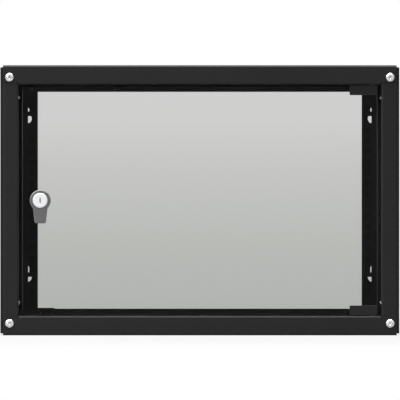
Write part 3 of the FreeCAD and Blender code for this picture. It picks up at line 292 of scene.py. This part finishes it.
# %% Lamps and camera
CAMERA_DISTANCE = 22.96
CAMERA_RISE = math.radians(0.52)
LENS = 1500.0
AIM = Vector((0.0003, cad_low.y, 0.0006))


def softbox(name, place, target, width, height, power):
    """A rectangular lamp that faces the target."""
    lamp = bpy.data.lights.new(name, "AREA")
    lamp.shape = "RECTANGLE"
    lamp.size, lamp.size_y = width, height
    lamp.energy = power
    box = bpy.data.objects.new(name, lamp)
    bpy.context.collection.objects.link(box)
    box.location = place
    aim = Vector(target) - Vector(place)
    box.rotation_euler = aim.to_track_quat("-Z", "Y").to_euler()
    return box


softbox("softbox_above", (0.0, -0.5, 1.9), (0.0, -0.2, 0.0), 2.2, 1.4, 90.0)
softbox("softbox_left", (-1.6, -2.0, 1.3), (0.0, -0.2, 0.0), 1.2, 1.2, 45.0)

lens = bpy.data.cameras.new("catalogue_lens")
lens.lens = LENS
lens.clip_end = 60.0
camera = bpy.data.objects.new("catalogue_camera", lens)
camera.location = AIM + CAMERA_DISTANCE * Vector((0.0, -math.cos(CAMERA_RISE),
                                                  math.sin(CAMERA_RISE)))
camera.rotation_euler = (math.radians(90) - CAMERA_RISE, 0.0, 0.0)
bpy.context.collection.objects.link(camera)
bpy.context.scene.camera = camera
print("camera", tuple(round(value, 3) for value in camera.location))

# %% [markdown]
# ## Black powder coat
#
# Powder melts to a thick paint with fine dimples, called orange peel, about a millimetre
# apart.  Two noises make the dimples, a coarse one shifts the gloss from place to place,
# and paint thins along the cabinet's outer edges, where hands and boxes rub it smooth.

# %% Powder coat
HALF_SIZE = [(high - low) / 2 for low, high in zip(cad_low, cad_high)]
MIDDLE = [(high + low) / 2 for low, high in zip(cad_low, cad_high)]


def outer_edge(finish, place):
    """Distance to the nearest outer edge: the second smallest distance to a side."""
    depth = [half - finish.math("ABSOLUTE", value - middle)
             for value, half, middle in zip(finish.along(place), HALF_SIZE, MIDDLE)]
    low = finish.math("MINIMUM", depth[0], depth[1])
    high = finish.math("MAXIMUM", depth[0], depth[1])
    return finish.math("MAXIMUM", low, finish.math("MINIMUM", high, depth[2]))


def powder_coat(name, tone, roughness, peel_depth):
    """Black paint with orange peel, soft changes of gloss and rubbed outer edges."""
    finish = Finish(bpy.data.materials.new(name))
    place = finish.place()
    peel = finish.noise(place, 900.0, 1.0)
    grain = finish.noise(place, 3200.0, 2.0)
    cloud = finish.noise(place, 9.0, 3.0)
    rubbed = (1 - finish.step(outer_edge(finish, place), 0.0004, 0.0030)) * cloud
    colour = finish.mix(cloud * 0.6, grey(tone * 0.85), grey(tone * 1.2))
    colour = finish.mix(rubbed * 0.7, colour, grey(tone * 2.2))
    gloss = roughness + (cloud - 0.5) * 0.10 + (grain - 0.5) * 0.08 - rubbed * 0.08
    return finish.done(finish.shader(
        Base_Color=colour, Roughness=gloss, Specular_IOR_Level=0.3,
        Normal=finish.bump(peel * 0.35 + grain * 0.65, peel_depth)))


frame_paint = powder_coat("powder_coat", 0.007, 0.46, 0.00003)
bracket_paint = powder_coat("bracket_paint", 0.013, 0.40, 0.000018)
hinge_paint = powder_coat("hinge_paint", 0.011, 0.34, 0.000018)
print("paints ready")

# %% [markdown]
# ## Tinted glass
#
# Toughened glass, smoke grey, with painted shade that makes it darker towards the foot of
# the pane.  Its faces are sharp, and its ground edges are dull and painted dark and opaque,
# a painted shade.  Glass bends light, and a renderer rarely finds a lamp through it, so for
# shadows the pane is plain clear tint: lamps then light what is behind it as they should.

# %% Glass
glass_low, glass_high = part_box("glass_pane")
EDGE = 0.0007
# Colour of the ground edges: a painted shade, dark where the edges would carry light.
GROUND_EDGE_SHADE = (0.030, 0.038, 0.034, 1.0)
SHADOW_TINT = (0.58, 0.59, 0.57, 1.0)


def tinted_glass():
    """Tint with painted shade to the foot, dull edges in painted shade, clear for lamps.
    Sharp tinted faces, dull ground edges, and a clear stand-in for lamp light.
    """
    finish = Finish(bpy.data.materials.new("tinted_glass"))
    place = finish.place()
    x, _, z = finish.along(place)
    rise = (z - glass_low.z) * (1 / (glass_high.z - glass_low.z))
    # The ramp paints shade into the tint: the pane is darker towards its foot.
    tint_and_shade = finish.node("ShaderNodeValToRGB", {"stops": [
        (0.0, (0.470, 0.484, 0.466, 1.0)), (0.30, (0.520, 0.532, 0.510, 1.0)),
        (0.62, (0.600, 0.606, 0.588, 1.0)), (0.86, (0.672, 0.672, 0.668, 1.0))]}, {0: rise})
    side = finish.step(finish.math("ABSOLUTE", x), glass_high.x - EDGE, glass_high.x - EDGE / 2)
    end = finish.step(finish.math("ABSOLUTE", z), glass_high.z - EDGE, glass_high.z - EDGE / 2)
    ground = finish.math("MAXIMUM", side, end)
    # At the ground edges the pane turns opaque and dark: painted shade.
    pane = finish.shader(Base_Color=finish.mix(ground, tint_and_shade, GROUND_EDGE_SHADE),
                         Metallic=ground, Roughness=ground * 0.5, IOR=1.5,
                         Transmission_Weight=1.0)
    clear = finish.node("ShaderNodeBsdfTransparent", {}, {"Color": SHADOW_TINT})
    shadow, = finish.light_path("Is Shadow Ray")
    return finish.done(finish.node("ShaderNodeMixShader", {}, {0: shadow, 1: pane, 2: clear}))


glass = tinted_glass()
print("pane", round(glass_high.x - glass_low.x, 3), "by", round(glass_high.z - glass_low.z, 3))

# %% [markdown]
# ## Metals, rubber and plastics
#
# One function makes every bare metal: how bright it is, how rough, and how strongly fine
# scratches and soft blotches show.  Another makes the moulded blacks.  The key plug has a
# finish of its own, because a lathe leaves rings on its face.

# %% Metals
plug_low, plug_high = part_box("key_plug")
TURNING_PITCH = 0.00035


def bare_metal(name, colour, roughness, scratch_depth, blotch=0.3):
    """Metal with fine random scratches, and soft patches of tone and gloss."""
    finish = Finish(bpy.data.materials.new(name))
    place = finish.place()
    cloud = finish.noise(place, 160.0, 3.0)
    fine = finish.noise(place, 5200.0, 1.0)
    darker = tuple(channel * (1 - blotch) for channel in colour[:3]) + (1.0,)
    return finish.done(finish.shader(
        Base_Color=finish.mix(cloud, darker, colour), Metallic=1.0,
        Roughness=roughness + (cloud - 0.5) * 0.12 + (fine - 0.5) * 0.05,
        Normal=finish.bump(fine, scratch_depth)))


def soft_black(name, tone, roughness, grain_scale, grain_depth):
    """Moulded rubber or plastic: matt, with a fine grain from the mould."""
    finish = Finish(bpy.data.materials.new(name))
    place = finish.place()
    grain = finish.noise(place, grain_scale, 3.0)
    cloud = finish.noise(place, 40.0, 2.0)
    return finish.done(finish.shader(
        Base_Color=finish.mix(cloud, grey(tone * 0.8), grey(tone * 1.3)),
        Roughness=roughness + (grain - 0.5) * 0.15,
        Normal=finish.bump(grain, grain_depth)))


def polished_plug():
    """Bright satin on the face, with the turning's fine rings, and painted shade in the slot.

    The rings are a wave of the distance from the lock's axis, and the painted shade of the
    slot begins behind the face.
    """
    finish = Finish(bpy.data.materials.new("polished_plug"))
    place = finish.place()
    x, y, z = finish.along(place)
    away = x - (plug_low.x + plug_high.x) / 2
    radius = finish.math("SQRT", away * away + z * z)
    turning = finish.math("SINE", radius * (2 * math.pi / TURNING_PITCH))
    # Painted shade: behind the face, in the slot and round the rim, the metal is made dark
    # grey.
    behind = finish.step(y - plug_low.y, 0.0003, 0.0010)
    cloud = finish.noise(place, 260.0, 2.0)
    colour = finish.mix(cloud, grey(0.90, -0.01), grey(0.98, -0.01))
    return finish.done(finish.shader(
        Base_Color=finish.mix(behind, colour, grey(0.10)), Metallic=1.0,
        Roughness=0.48 + (cloud - 0.5) * 0.10, Normal=finish.bump(turning, 0.000002)))


bright_zinc = bare_metal("bright_zinc", grey(0.86, -0.01), 0.20, 0.000004, 0.12)
zinc_fixing = bare_metal("zinc_fixing", grey(0.62, 0.03), 0.34, 0.000006)
black_steel = bare_metal("black_steel", grey(0.10), 0.38, 0.000006)
die_cast = bare_metal("die_cast", grey(0.22), 0.42, 0.000010, 0.15)
plug_polish = polished_plug()
nickel = bare_metal("nickel", grey(0.58, 0.02), 0.30, 0.000004)
strike_steel = bare_metal("strike_steel", grey(0.55), 0.25, 0.000004)
rubber = soft_black("rubber", 0.012, 0.75, 1800.0, 0.00003)
black_plastic = soft_black("black_plastic", 0.012, 0.42, 2600.0, 0.00002)
nylon = soft_black("nylon", 0.016, 0.35, 1500.0, 0.00001)
print("metals and plastics ready")

# %% [markdown]
# ## Dress the CAD solids
#
# The record says which finish each solid takes.  A solid's mesh isn't changed; only its
# material slot is.

# %% Finishes by slot
FINISHES = {
    "black_powder_coat": frame_paint,
    "black_bracket_paint": bracket_paint,
    "hinge_paint": hinge_paint,
    "bright_zinc": bright_zinc,
    "zinc_fixings": zinc_fixing,
    "black_steel": black_steel,
    "tinted_glass": glass,
    "grey_die_cast": die_cast,
    "bright_chrome": plug_polish,
    "satin_nickel": nickel,
    "black_rubber": rubber,
    "black_plastic": black_plastic,
    "black_nylon": nylon,
    "plated_strike": strike_steel,
}
for part in frame["record"]["subparts"]:
    solid = nodes[part["node"]]
    for slot in range(len(solid.data.materials)):
        solid.data.materials[slot] = FINISHES[part["material_slot"]]
print(len(nodes), "solids dressed")

# %% [markdown]
# ## Skins over rings
#
# Screws, nuts, studs, knobs and rubber feet are made round an axis, on a lathe or in a die.
# Each is a stack of rings here: a ring has one height and a radius for each direction.  A
# number as the radius gives a circle, and an array gives a hexagon, a cross or the outline
# of a knob.  Quads join each ring to the next, and a ring of radius 0 closes an end.  That
# keeps a whole shape in a few lines, and every edge gets the small bevel a real one has.

# %% Rings and skins
BODY_OF = {node: body for body, names in frame["record"]["behaviour"]["bodies"].items()
           for node in names}
SLOT_OF = {part["node"]: part["material_slot"] for part in frame["record"]["subparts"]}
SIDES_AND_ENDS = [(side, end) for side in (-1, 1) for end in (-1, 1)]
SHARP = math.radians(38)
WELD = 1e-7


def directions(count):
    """Evenly spaced directions round an axis."""
    return np.arange(count) * (2 * np.pi / count)


def rings(turns, radius, height):
    """Points (r cos t, r sin t, h), as an array of ring by direction by coordinate."""
    turns, radius, height = np.broadcast_arrays(turns[None, :], radius, height)
    return np.stack([radius * np.cos(turns), radius * np.sin(turns), height], axis=-1)


def skin(stack):
    """Points and outward quads over rings that go from the top down."""
    rows, count = stack.shape[:2]
    row, turn = np.meshgrid(np.arange(rows - 1), np.arange(count), indexing="ij")
    after = (turn + 1) % count
    quads = np.stack([row * count + turn, (row + 1) * count + turn,
                      (row + 1) * count + after, row * count + after], axis=-1)
    return stack.reshape(-1, 3), quads.reshape(-1, 4)


def fitting(node, stack, places):
    """One skin at every place, as a piece that stands for the CAD node.

    A place is its centre, the direction that the top of the skin faces, and its turn.
    """
    points, quads = skin(stack)
    stood = [points @ np.array(Vector(facing).to_track_quat("Z", "Y").to_matrix()
                               @ Matrix.Rotation(turn, 3, "Z")).T + np.array(centre)
             for centre, facing, turn in places]
    first = np.arange(len(places))[:, None, None] * len(points)
    piece = mesh_piece(f"{node}_piece", np.concatenate(stood),
                       (quads[None] + first).reshape(-1, 4), FINISHES[SLOT_OF[node]])
    shape = bmesh.new()
    shape.from_mesh(piece.data)
    bmesh.ops.remove_doubles(shape, verts=shape.verts, dist=WELD)
    shape.to_mesh(piece.data)
    shape.free()
    piece.data.set_sharp_from_angle(angle=SHARP)
    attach(piece, BODY_OF[node])
    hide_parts(node)
    print(node, len(places), "x", len(quads), "quads")
    return piece


# %% [markdown]
# ## Threads and screws
#
# A thread is a groove that climbs one pitch in each turn.  As a formula, the radius dips
# where the height in pitches plus the direction in turns is a whole number.  A cross recess
# is pressed with a tapered punch, so its rings shrink as they go down.  The heads of the
# bracket screws stand 1.4 mm taller here than on their solids, so that they show.

# %% Threads and screws
SCREW_TURNS = directions(64)
THREAD_STEPS = 5
CORNER_SCREW = {"head": 0.0062, "height": 0.0034, "shank": 0.0030, "pitch": 0.0010}
RAIL_SCREW = {"head": 0.0046, "height": 0.0028, "shank": 0.0025, "pitch": 0.0008}
SMALL_SCREW = {"head": 0.0039, "height": 0.0024, "shank": 0.0020, "pitch": 0.0007}
BRACKET_SCREW = {**SMALL_SCREW, "height": 0.0038}
SIDE_TURN, END_TURN = 0.10, 0.05


def thread(radius, top, bottom, pitch):
    """Rings of a threaded rod: radius less a triangle wave of height and direction."""
    steps = int((top - bottom) / pitch * THREAD_STEPS) + 1
    heights = np.linspace(top, bottom, steps)[:, None]
    phase = (heights / pitch + SCREW_TURNS / (2 * np.pi)) % 1.0
    return rings(SCREW_TURNS, radius - 0.55 * pitch * np.abs(2 * phase - 1), heights)


def cross(reach, half_width):
    """In each direction the farther of two crossed bars of that reach and width."""
    level = np.maximum(np.abs(np.cos(SCREW_TURNS)), 1e-6)
    upright = np.maximum(np.abs(np.sin(SCREW_TURNS)), 1e-6)
    return np.maximum(np.minimum(reach / level, half_width / upright),
                      np.minimum(half_width / level, reach / upright))


def screw(head, height, shank, pitch, length, flat=False):
    """A domed head over a threaded shank; a flat head is a cone below its face.

    The dome is a quarter of the head's height at the rim and rises as
    (1 - (r / head) cubed) to the power 0.6 to the whole height in the middle.
    """
    def dome(radius):
        rise = 0.25 + 0.75 * (1 - np.clip(radius / head, 0, 1) ** 3) ** 0.6
        return radius * 0 if flat else height * rise

    recess = cross(head * 0.46, head * 0.10)
    depth = head * 0.26
    outwards = np.linspace(0.12, 1.0, 7)[:, None]
    spread = recess + (head - recess) * outwards
    seat = shank - head if flat else 0.0
    tip = shank * 0.3
    return np.concatenate([
        rings(SCREW_TURNS, 0.0, dome(0.0) - depth),
        rings(SCREW_TURNS, recess * 0.5, dome(0.0) - depth),
        rings(SCREW_TURNS, recess * 0.96, dome(recess) - head * 0.03),
        rings(SCREW_TURNS, spread, dome(spread)),
        rings(SCREW_TURNS, head, -head * 0.03 if flat else 0.0),
        rings(SCREW_TURNS, shank, seat),
        thread(shank, seat - tip, tip - length, pitch),
        rings(SCREW_TURNS, shank - tip, -length),
        rings(SCREW_TURNS, 0.0, -length)])


def corner_places(node, margin, y, facing, turn):
    """A place in each corner of the node's box, that margin in from its sides.

    No two screws stop at the same turn, so each side and end adds a little.
    """
    _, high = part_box(node)
    return [((side * (high.x - margin), y, end * (high.z - margin)), facing,
             turn + SIDE_TURN * side + END_TURN * end) for side, end in SIDES_AND_ENDS]


low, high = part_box("corner_screws")
seat = low.y + CORNER_SCREW["height"]
fitting("corner_screws", screw(**CORNER_SCREW, length=high.y - seat),
        corner_places("corner_screws", CORNER_SCREW["head"], seat, (0, -1, 0), 0.0))
for node in ("rear_screws", "bracket_rear_screws"):
    low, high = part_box(node)
    fitting(node, screw(**SMALL_SCREW, length=high.y - low.y, flat=True),
            corner_places(node, SMALL_SCREW["head"], high.y, (0, 1, 0), 0.8))

# %% [markdown]
# The screws of the brackets and rails come in from the open middle, so each faces away from
# its own side.  Those of the entry covers go in from inside, and only their tips reach the
# outer face.

# %% Inner screws
bracket_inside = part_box("depth_bracket_upper_right")[0].x
for node, size in (("bracket_front_screws", BRACKET_SCREW),
                   ("rail_screws", RAIL_SCREW)):
    low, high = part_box(node)
    z = high.z - size["head"]
    rows_back = sorted({round(low.y + size["head"], 5), round(high.y - size["head"], 5)})
    fitting(node, screw(**size, length=high.x - bracket_inside),
            [((side * bracket_inside, y, end * z), (-side, 0, 0), 0.3 * end)
             for side, end in SIDES_AND_ENDS for y in rows_back])

low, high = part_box("entry_cover_screws")
plate_low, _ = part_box("top_entry_cover")
fitting("entry_cover_screws", screw(**SMALL_SCREW, length=high.z - plate_low.z),
        [((side * (high.x - SMALL_SCREW["head"]), y, end * plate_low.z), (0, 0, -end), 0.4)
         for side, end in SIDES_AND_ENDS
         for y in (low.y + SMALL_SCREW["head"], high.y - SMALL_SCREW["head"])])

low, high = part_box("catch_screws")
seat = high.y - SMALL_SCREW["height"]
fitting("catch_screws", screw(**SMALL_SCREW, length=seat - low.y),
        [((x, seat, (low.z + high.z) / 2), (0, 1, 0), 0.5)
         for x in (low.x + SMALL_SCREW["head"], high.x - SMALL_SCREW["head"])])

low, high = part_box("cam_screw")
seat = high.y - SMALL_SCREW["height"]
cam_screw_size = {**SMALL_SCREW, "head": (high.x - low.x) / 2}
fitting("cam_screw", screw(**cam_screw_size, length=seat - low.y),
        [(((low.x + high.x) / 2, seat, (low.z + high.z) / 2), (0, 1, 0), 0.26)])

# %% [markdown]
# ## Nuts
#
# A nut is cut from hexagon bar and its corners are turned off by a cone, which leaves the
# curved chamfer.  In each direction the hexagon's radius is its flat distance over the
# cosine of the angle from the nearest flat, and the chamfer drops by how far that is beyond
# the face.  The rings go out over the top, down the outside, in underneath and up the bore
# to where they began.

# %% Nuts
NUT_TURNS = directions(48)
SMALL_NUT, RAIL_NUT, CORNER_NUT = 0.0040, 0.0046, 0.0058
INNER_NUT_HEIGHT = 0.0032
FLAT = math.cos(math.pi / 6)


def nut(corner, bore, height):
    """A hexagon nut from height 0 up, chamfered at both ends."""
    from_flat = NUT_TURNS % (np.pi / 3) - np.pi / 6
    hexagon = corner * FLAT / np.cos(from_flat)
    face = corner * FLAT * 0.97
    drop = (hexagon - face) * math.tan(math.pi / 6)
    lead = height * 0.12
    around = [(bore + lead, height), (face, height), (hexagon, height - drop), (hexagon, drop),
              (face, 0.0), (bore + lead, 0.0), (bore, lead), (bore, height - lead),
              (bore + lead, height)]
    return np.concatenate([rings(NUT_TURNS, radius, level) for radius, level in around])


# %% [markdown]
# The nuts of the covers lie in the corners of their box.  Those inside the cabinet stand on
# its sides, and face the middle or away from it.

# %% Nuts in their places
low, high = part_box("corner_nuts")
fitting("corner_nuts", nut(CORNER_NUT, CORNER_SCREW["shank"], high.y - low.y),
        [((side * (high.x - CORNER_NUT), low.y, end * (high.z - CORNER_NUT * FLAT)),
          (0, 1, 0), 0.0) for side, end in SIDES_AND_ENDS])
for node in ("rear_nuts", "bracket_rear_nuts"):
    low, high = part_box(node)
    fitting(node, nut(SMALL_NUT, SMALL_SCREW["shank"], high.y - low.y),
            [((side * (high.x - SMALL_NUT), high.y, end * (high.z - SMALL_NUT * FLAT)),
              (0, -1, 0), 0.0) for side, end in SIDES_AND_ENDS])
for node, corner, bore, depth in (
        ("bracket_front_nuts", SMALL_NUT, SMALL_SCREW["shank"], 1),
        ("rail_nuts", RAIL_NUT, RAIL_SCREW["shank"], 1),
        ("side_panel_nuts", SMALL_NUT, SMALL_SCREW["shank"], -1)):
    low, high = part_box(node)
    flat = corner * FLAT
    seat = high.x - INNER_NUT_HEIGHT if depth > 0 else high.x
    fitting(node, nut(corner, bore, INNER_NUT_HEIGHT),
            [((side * seat, y, end * (high.z - corner)), (side * depth, 0, 0), np.pi / 6)
             for side, end in SIDES_AND_ENDS
             for y in sorted({round(low.y + flat, 5), round(high.y - flat, 5)})])

# %% [markdown]
# The earth stud stands on the bottom cover, with the largest nut on it.

# %% Earth stud
low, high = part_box("earth_nut")
middle = (low + high) / 2
fitting("earth_nut", nut(CORNER_NUT, CORNER_SCREW["shank"], high.z - low.z),
        [((middle.x, middle.y, low.z), (0, 0, 1), 0.0)])
low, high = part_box("earth_stud")
stud_radius, stud_length = (high.x - low.x) / 2, high.z - low.z
stud_tip = 0.0005
fitting("earth_stud", np.concatenate([
    rings(SCREW_TURNS, 0.0, stud_length),
    rings(SCREW_TURNS, stud_radius - stud_tip, stud_length),
    thread(stud_radius, stud_length - stud_tip, 0.0, CORNER_SCREW["pitch"]),
    rings(SCREW_TURNS, 0.0, 0.0)]), [((middle.x, middle.y, low.z), (0, 0, 1), 0.0)])

# %% [markdown]
# ## Lock knob
#
# The knob is die cast: a round head that runs out into a tapered tail for the fingers.  Its
# outline is a distance for each direction.  A straight side at distance d is met at d over
# the cosine of the angle from its normal.  A sum of high powers picks the nearest side and
# rounds the corner between two, and picks the farther of tail and circle with a small
# fillet.  The outline is then stepped off in equal lengths, so that the rounded edge can be
# carried round it at an even width.

# %% Knob outline
KNOB_STEPS = 192
KNOB_RADIUS = 0.01455
KNOB_EDGE = 0.0014
TAIL_SIDE = 0.01100
TAIL_LEAN = math.radians(5.76)
TAIL_REACH = 0.0316
CORNER_POWER, FILLET_POWER = 18, 24


def knob_outline():
    """Outline points and outward normals, evenly spaced along the rim."""
    turns = directions(4 * KNOB_STEPS)
    inverse = 0.0
    for distance, normal in ((TAIL_SIDE, -TAIL_LEAN), (TAIL_SIDE, np.pi + TAIL_LEAN),
                             (TAIL_REACH, -np.pi / 2)):
        facing = np.maximum(np.cos(turns - normal), 0.0)
        inverse = inverse + (facing / distance) ** CORNER_POWER
    tail = np.maximum(inverse, 1e-30) ** (-1 / CORNER_POWER)
    tail = np.where(np.sin(turns) > 0.2, 0.0, np.minimum(tail, TAIL_REACH * 1.1))
    radius = (KNOB_RADIUS ** FILLET_POWER + tail ** FILLET_POWER) ** (1 / FILLET_POWER)
    rim = np.stack([radius * np.cos(turns), radius * np.sin(turns)], axis=1)
    ends = np.roll(rim, -1, axis=0)
    travel = np.concatenate([[0.0], np.cumsum(np.linalg.norm(ends - rim, axis=1))])
    closed = np.vstack([rim, rim[:1]])
    even = np.linspace(0.0, travel[-1], KNOB_STEPS + 1)[:-1]
    points = np.stack([np.interp(even, travel, closed[:, axis]) for axis in (0, 1)], axis=1)
    run = np.roll(points, -1, axis=0) - np.roll(points, 1, axis=0)
    normals = np.stack([run[:, 1], -run[:, 0]], axis=1)
    return points, normals / np.linalg.norm(normals, axis=1, keepdims=True)


print("knob outline", KNOB_STEPS, "points")

# %% [markdown]
# The knob's skin starts in the recess for the key plug, goes over the face and the rounded
# edge, and ends with the spindle and the square that turns the cam.

# %% Lock knob
KNOB_THICKNESS = 0.0070
RECESS_DEPTH = 0.0025
PLUG_GAP = 0.00005
SPINDLE_RADIUS = 0.0050
SPINDLE_SQUARE = 0.0070


def lay(flat_points, height):
    """One ring from points in a plane and a height."""
    level = np.full((len(flat_points), 1), height)
    return np.concatenate([flat_points, level], axis=1)[None]


def knob(front, back, recess_radius, recess_floor, spindle, cam_front, cam_back, square):
    """Recess, face, rounded edge, wall, back, spindle and the square for the cam."""
    rim, normal = knob_outline()
    turns = np.arctan2(rim[:, 1], rim[:, 0])
    spoke = np.stack([np.cos(turns), np.sin(turns)], axis=1)
    inset = rim - normal * KNOB_EDGE
    lip = spoke * (recess_radius + 0.0005)
    stack = [lay(spoke * 0.0, recess_floor), lay(spoke * recess_radius, recess_floor),
             lay(spoke * recess_radius, front - 0.0004), lay(lip, front)]
    stack += [lay(lip + (inset - lip) * share, front) for share in (0.3, 0.6, 0.9, 1.0)]
    stack += [lay(rim - normal * KNOB_EDGE * (1 - math.sin(angle)),
                  front - KNOB_EDGE * (1 - math.cos(angle)))
              for angle in np.linspace(0.0, np.pi / 2, 7)[1:]]
    shaft = 0.5 * square / np.maximum(np.abs(np.cos(turns)), np.abs(np.sin(turns)))
    stack += [lay(rim, back + 0.0005), lay(rim - normal * 0.0005, back),
              lay(spoke * spindle, back), lay(spoke * spindle, cam_front),
              lay(spoke * shaft[:, None], cam_front), lay(spoke * shaft[:, None], cam_back),
              lay(spoke * 0.0, cam_back)]
    return np.concatenate(stack)


knob_low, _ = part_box("lock_knob")
cam_low, cam_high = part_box("lock_cam")
lock_centre = ((plug_low.x + plug_high.x) / 2, glass_low.y, 0.0)
knob_front = glass_low.y - knob_low.y
knob_back = knob_front - KNOB_THICKNESS
plug_radius = (plug_high.x - plug_low.x) / 2
fitting("lock_knob", knob(
    front=knob_front, back=knob_back, recess_radius=plug_radius + PLUG_GAP,
    recess_floor=knob_front - RECESS_DEPTH, spindle=SPINDLE_RADIUS,
    cam_front=glass_low.y - cam_low.y, cam_back=glass_low.y - cam_high.y,
    square=SPINDLE_SQUARE), [(lock_centre, (0, -1, 0), 0.0)])

# %% [markdown]
# The key plug is a turned and polished disc.  Its rings begin as the rounded slot for the
# key, whose outline is a superellipse, and open out to the disc's circle.

# %% Key plug
PLUG_TURNS = directions(96)
SLOT_HALF_WIDTH, SLOT_HALF_LENGTH, SLOT_DEPTH = 0.00065, 0.00375, 0.0024
CORE_RADIUS = CORE_LENGTH = 0.0040


def key_plug(face, floor, radius, core_radius, core_length):
    """Slot, face, rounded rim, wall, back and the short core behind them."""
    slot = ((np.abs(np.cos(PLUG_TURNS)) / SLOT_HALF_WIDTH) ** 8
            + (np.abs(np.sin(PLUG_TURNS)) / SLOT_HALF_LENGTH) ** 8) ** (-1 / 8)
    edge = 0.0006
    outwards = np.linspace(0.0, 1.0, 7)[:, None] ** 1.3
    arc = np.linspace(0.0, np.pi / 2, 5)[1:, None]
    opening = slot + 0.0002
    return np.concatenate([
        rings(PLUG_TURNS, 0.0, face - SLOT_DEPTH),
        rings(PLUG_TURNS, slot, face - SLOT_DEPTH),
        rings(PLUG_TURNS, slot, face - 0.0002),
        rings(PLUG_TURNS, opening + (radius - edge - opening) * outwards, face),
        rings(PLUG_TURNS, radius - edge * (1 - np.sin(arc)), face - edge * (1 - np.cos(arc))),
        rings(PLUG_TURNS, radius, floor),
        rings(PLUG_TURNS, core_radius, floor),
        rings(PLUG_TURNS, core_radius, floor - core_length),
        rings(PLUG_TURNS, 0.0, floor - core_length)])


fitting("key_plug", key_plug(
    face=glass_low.y - plug_low.y, floor=knob_front - RECESS_DEPTH + PLUG_GAP,
    radius=plug_radius, core_radius=CORE_RADIUS, core_length=CORE_LENGTH),
    [(lock_centre, (0, -1, 0), 0.0)])

# %% [markdown]
# ## Rubber door buffers
#
# Each buffer is a pushed-in rubber foot: a soft dome on a neck that grips the hole.

# %% Door buffers
def buffer_foot(radius, height):
    """A dome that is a quarter ellipse, a groove one third up, and a flange."""
    arc = np.linspace(0.0, np.pi / 2, 8)[:, None]
    return np.concatenate([
        rings(SCREW_TURNS, radius * np.sin(arc), height * (0.62 + 0.38 * np.cos(arc))),
        rings(SCREW_TURNS, radius, height * 0.45),
        rings(SCREW_TURNS, radius * 0.80, height * 0.40),
        rings(SCREW_TURNS, radius * 0.80, height * 0.26),
        rings(SCREW_TURNS, radius, height * 0.21),
        rings(SCREW_TURNS, radius, 0.0),
        rings(SCREW_TURNS, 0.0, 0.0)])


low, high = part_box("door_buffers")
foot_radius = (high.z - low.z) / 2
fitting("door_buffers", buffer_foot(foot_radius, high.y - low.y),
        [((x, high.y, (low.z + high.z) / 2), (0, -1, 0), 0.0)
         for x in (low.x + foot_radius, high.x - foot_radius)])

# %% [markdown]
# ## Close the scene
#
# The box of the finished model is measured, as that of the CAD model was at the start.

# %% Sizes and finish
low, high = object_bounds()
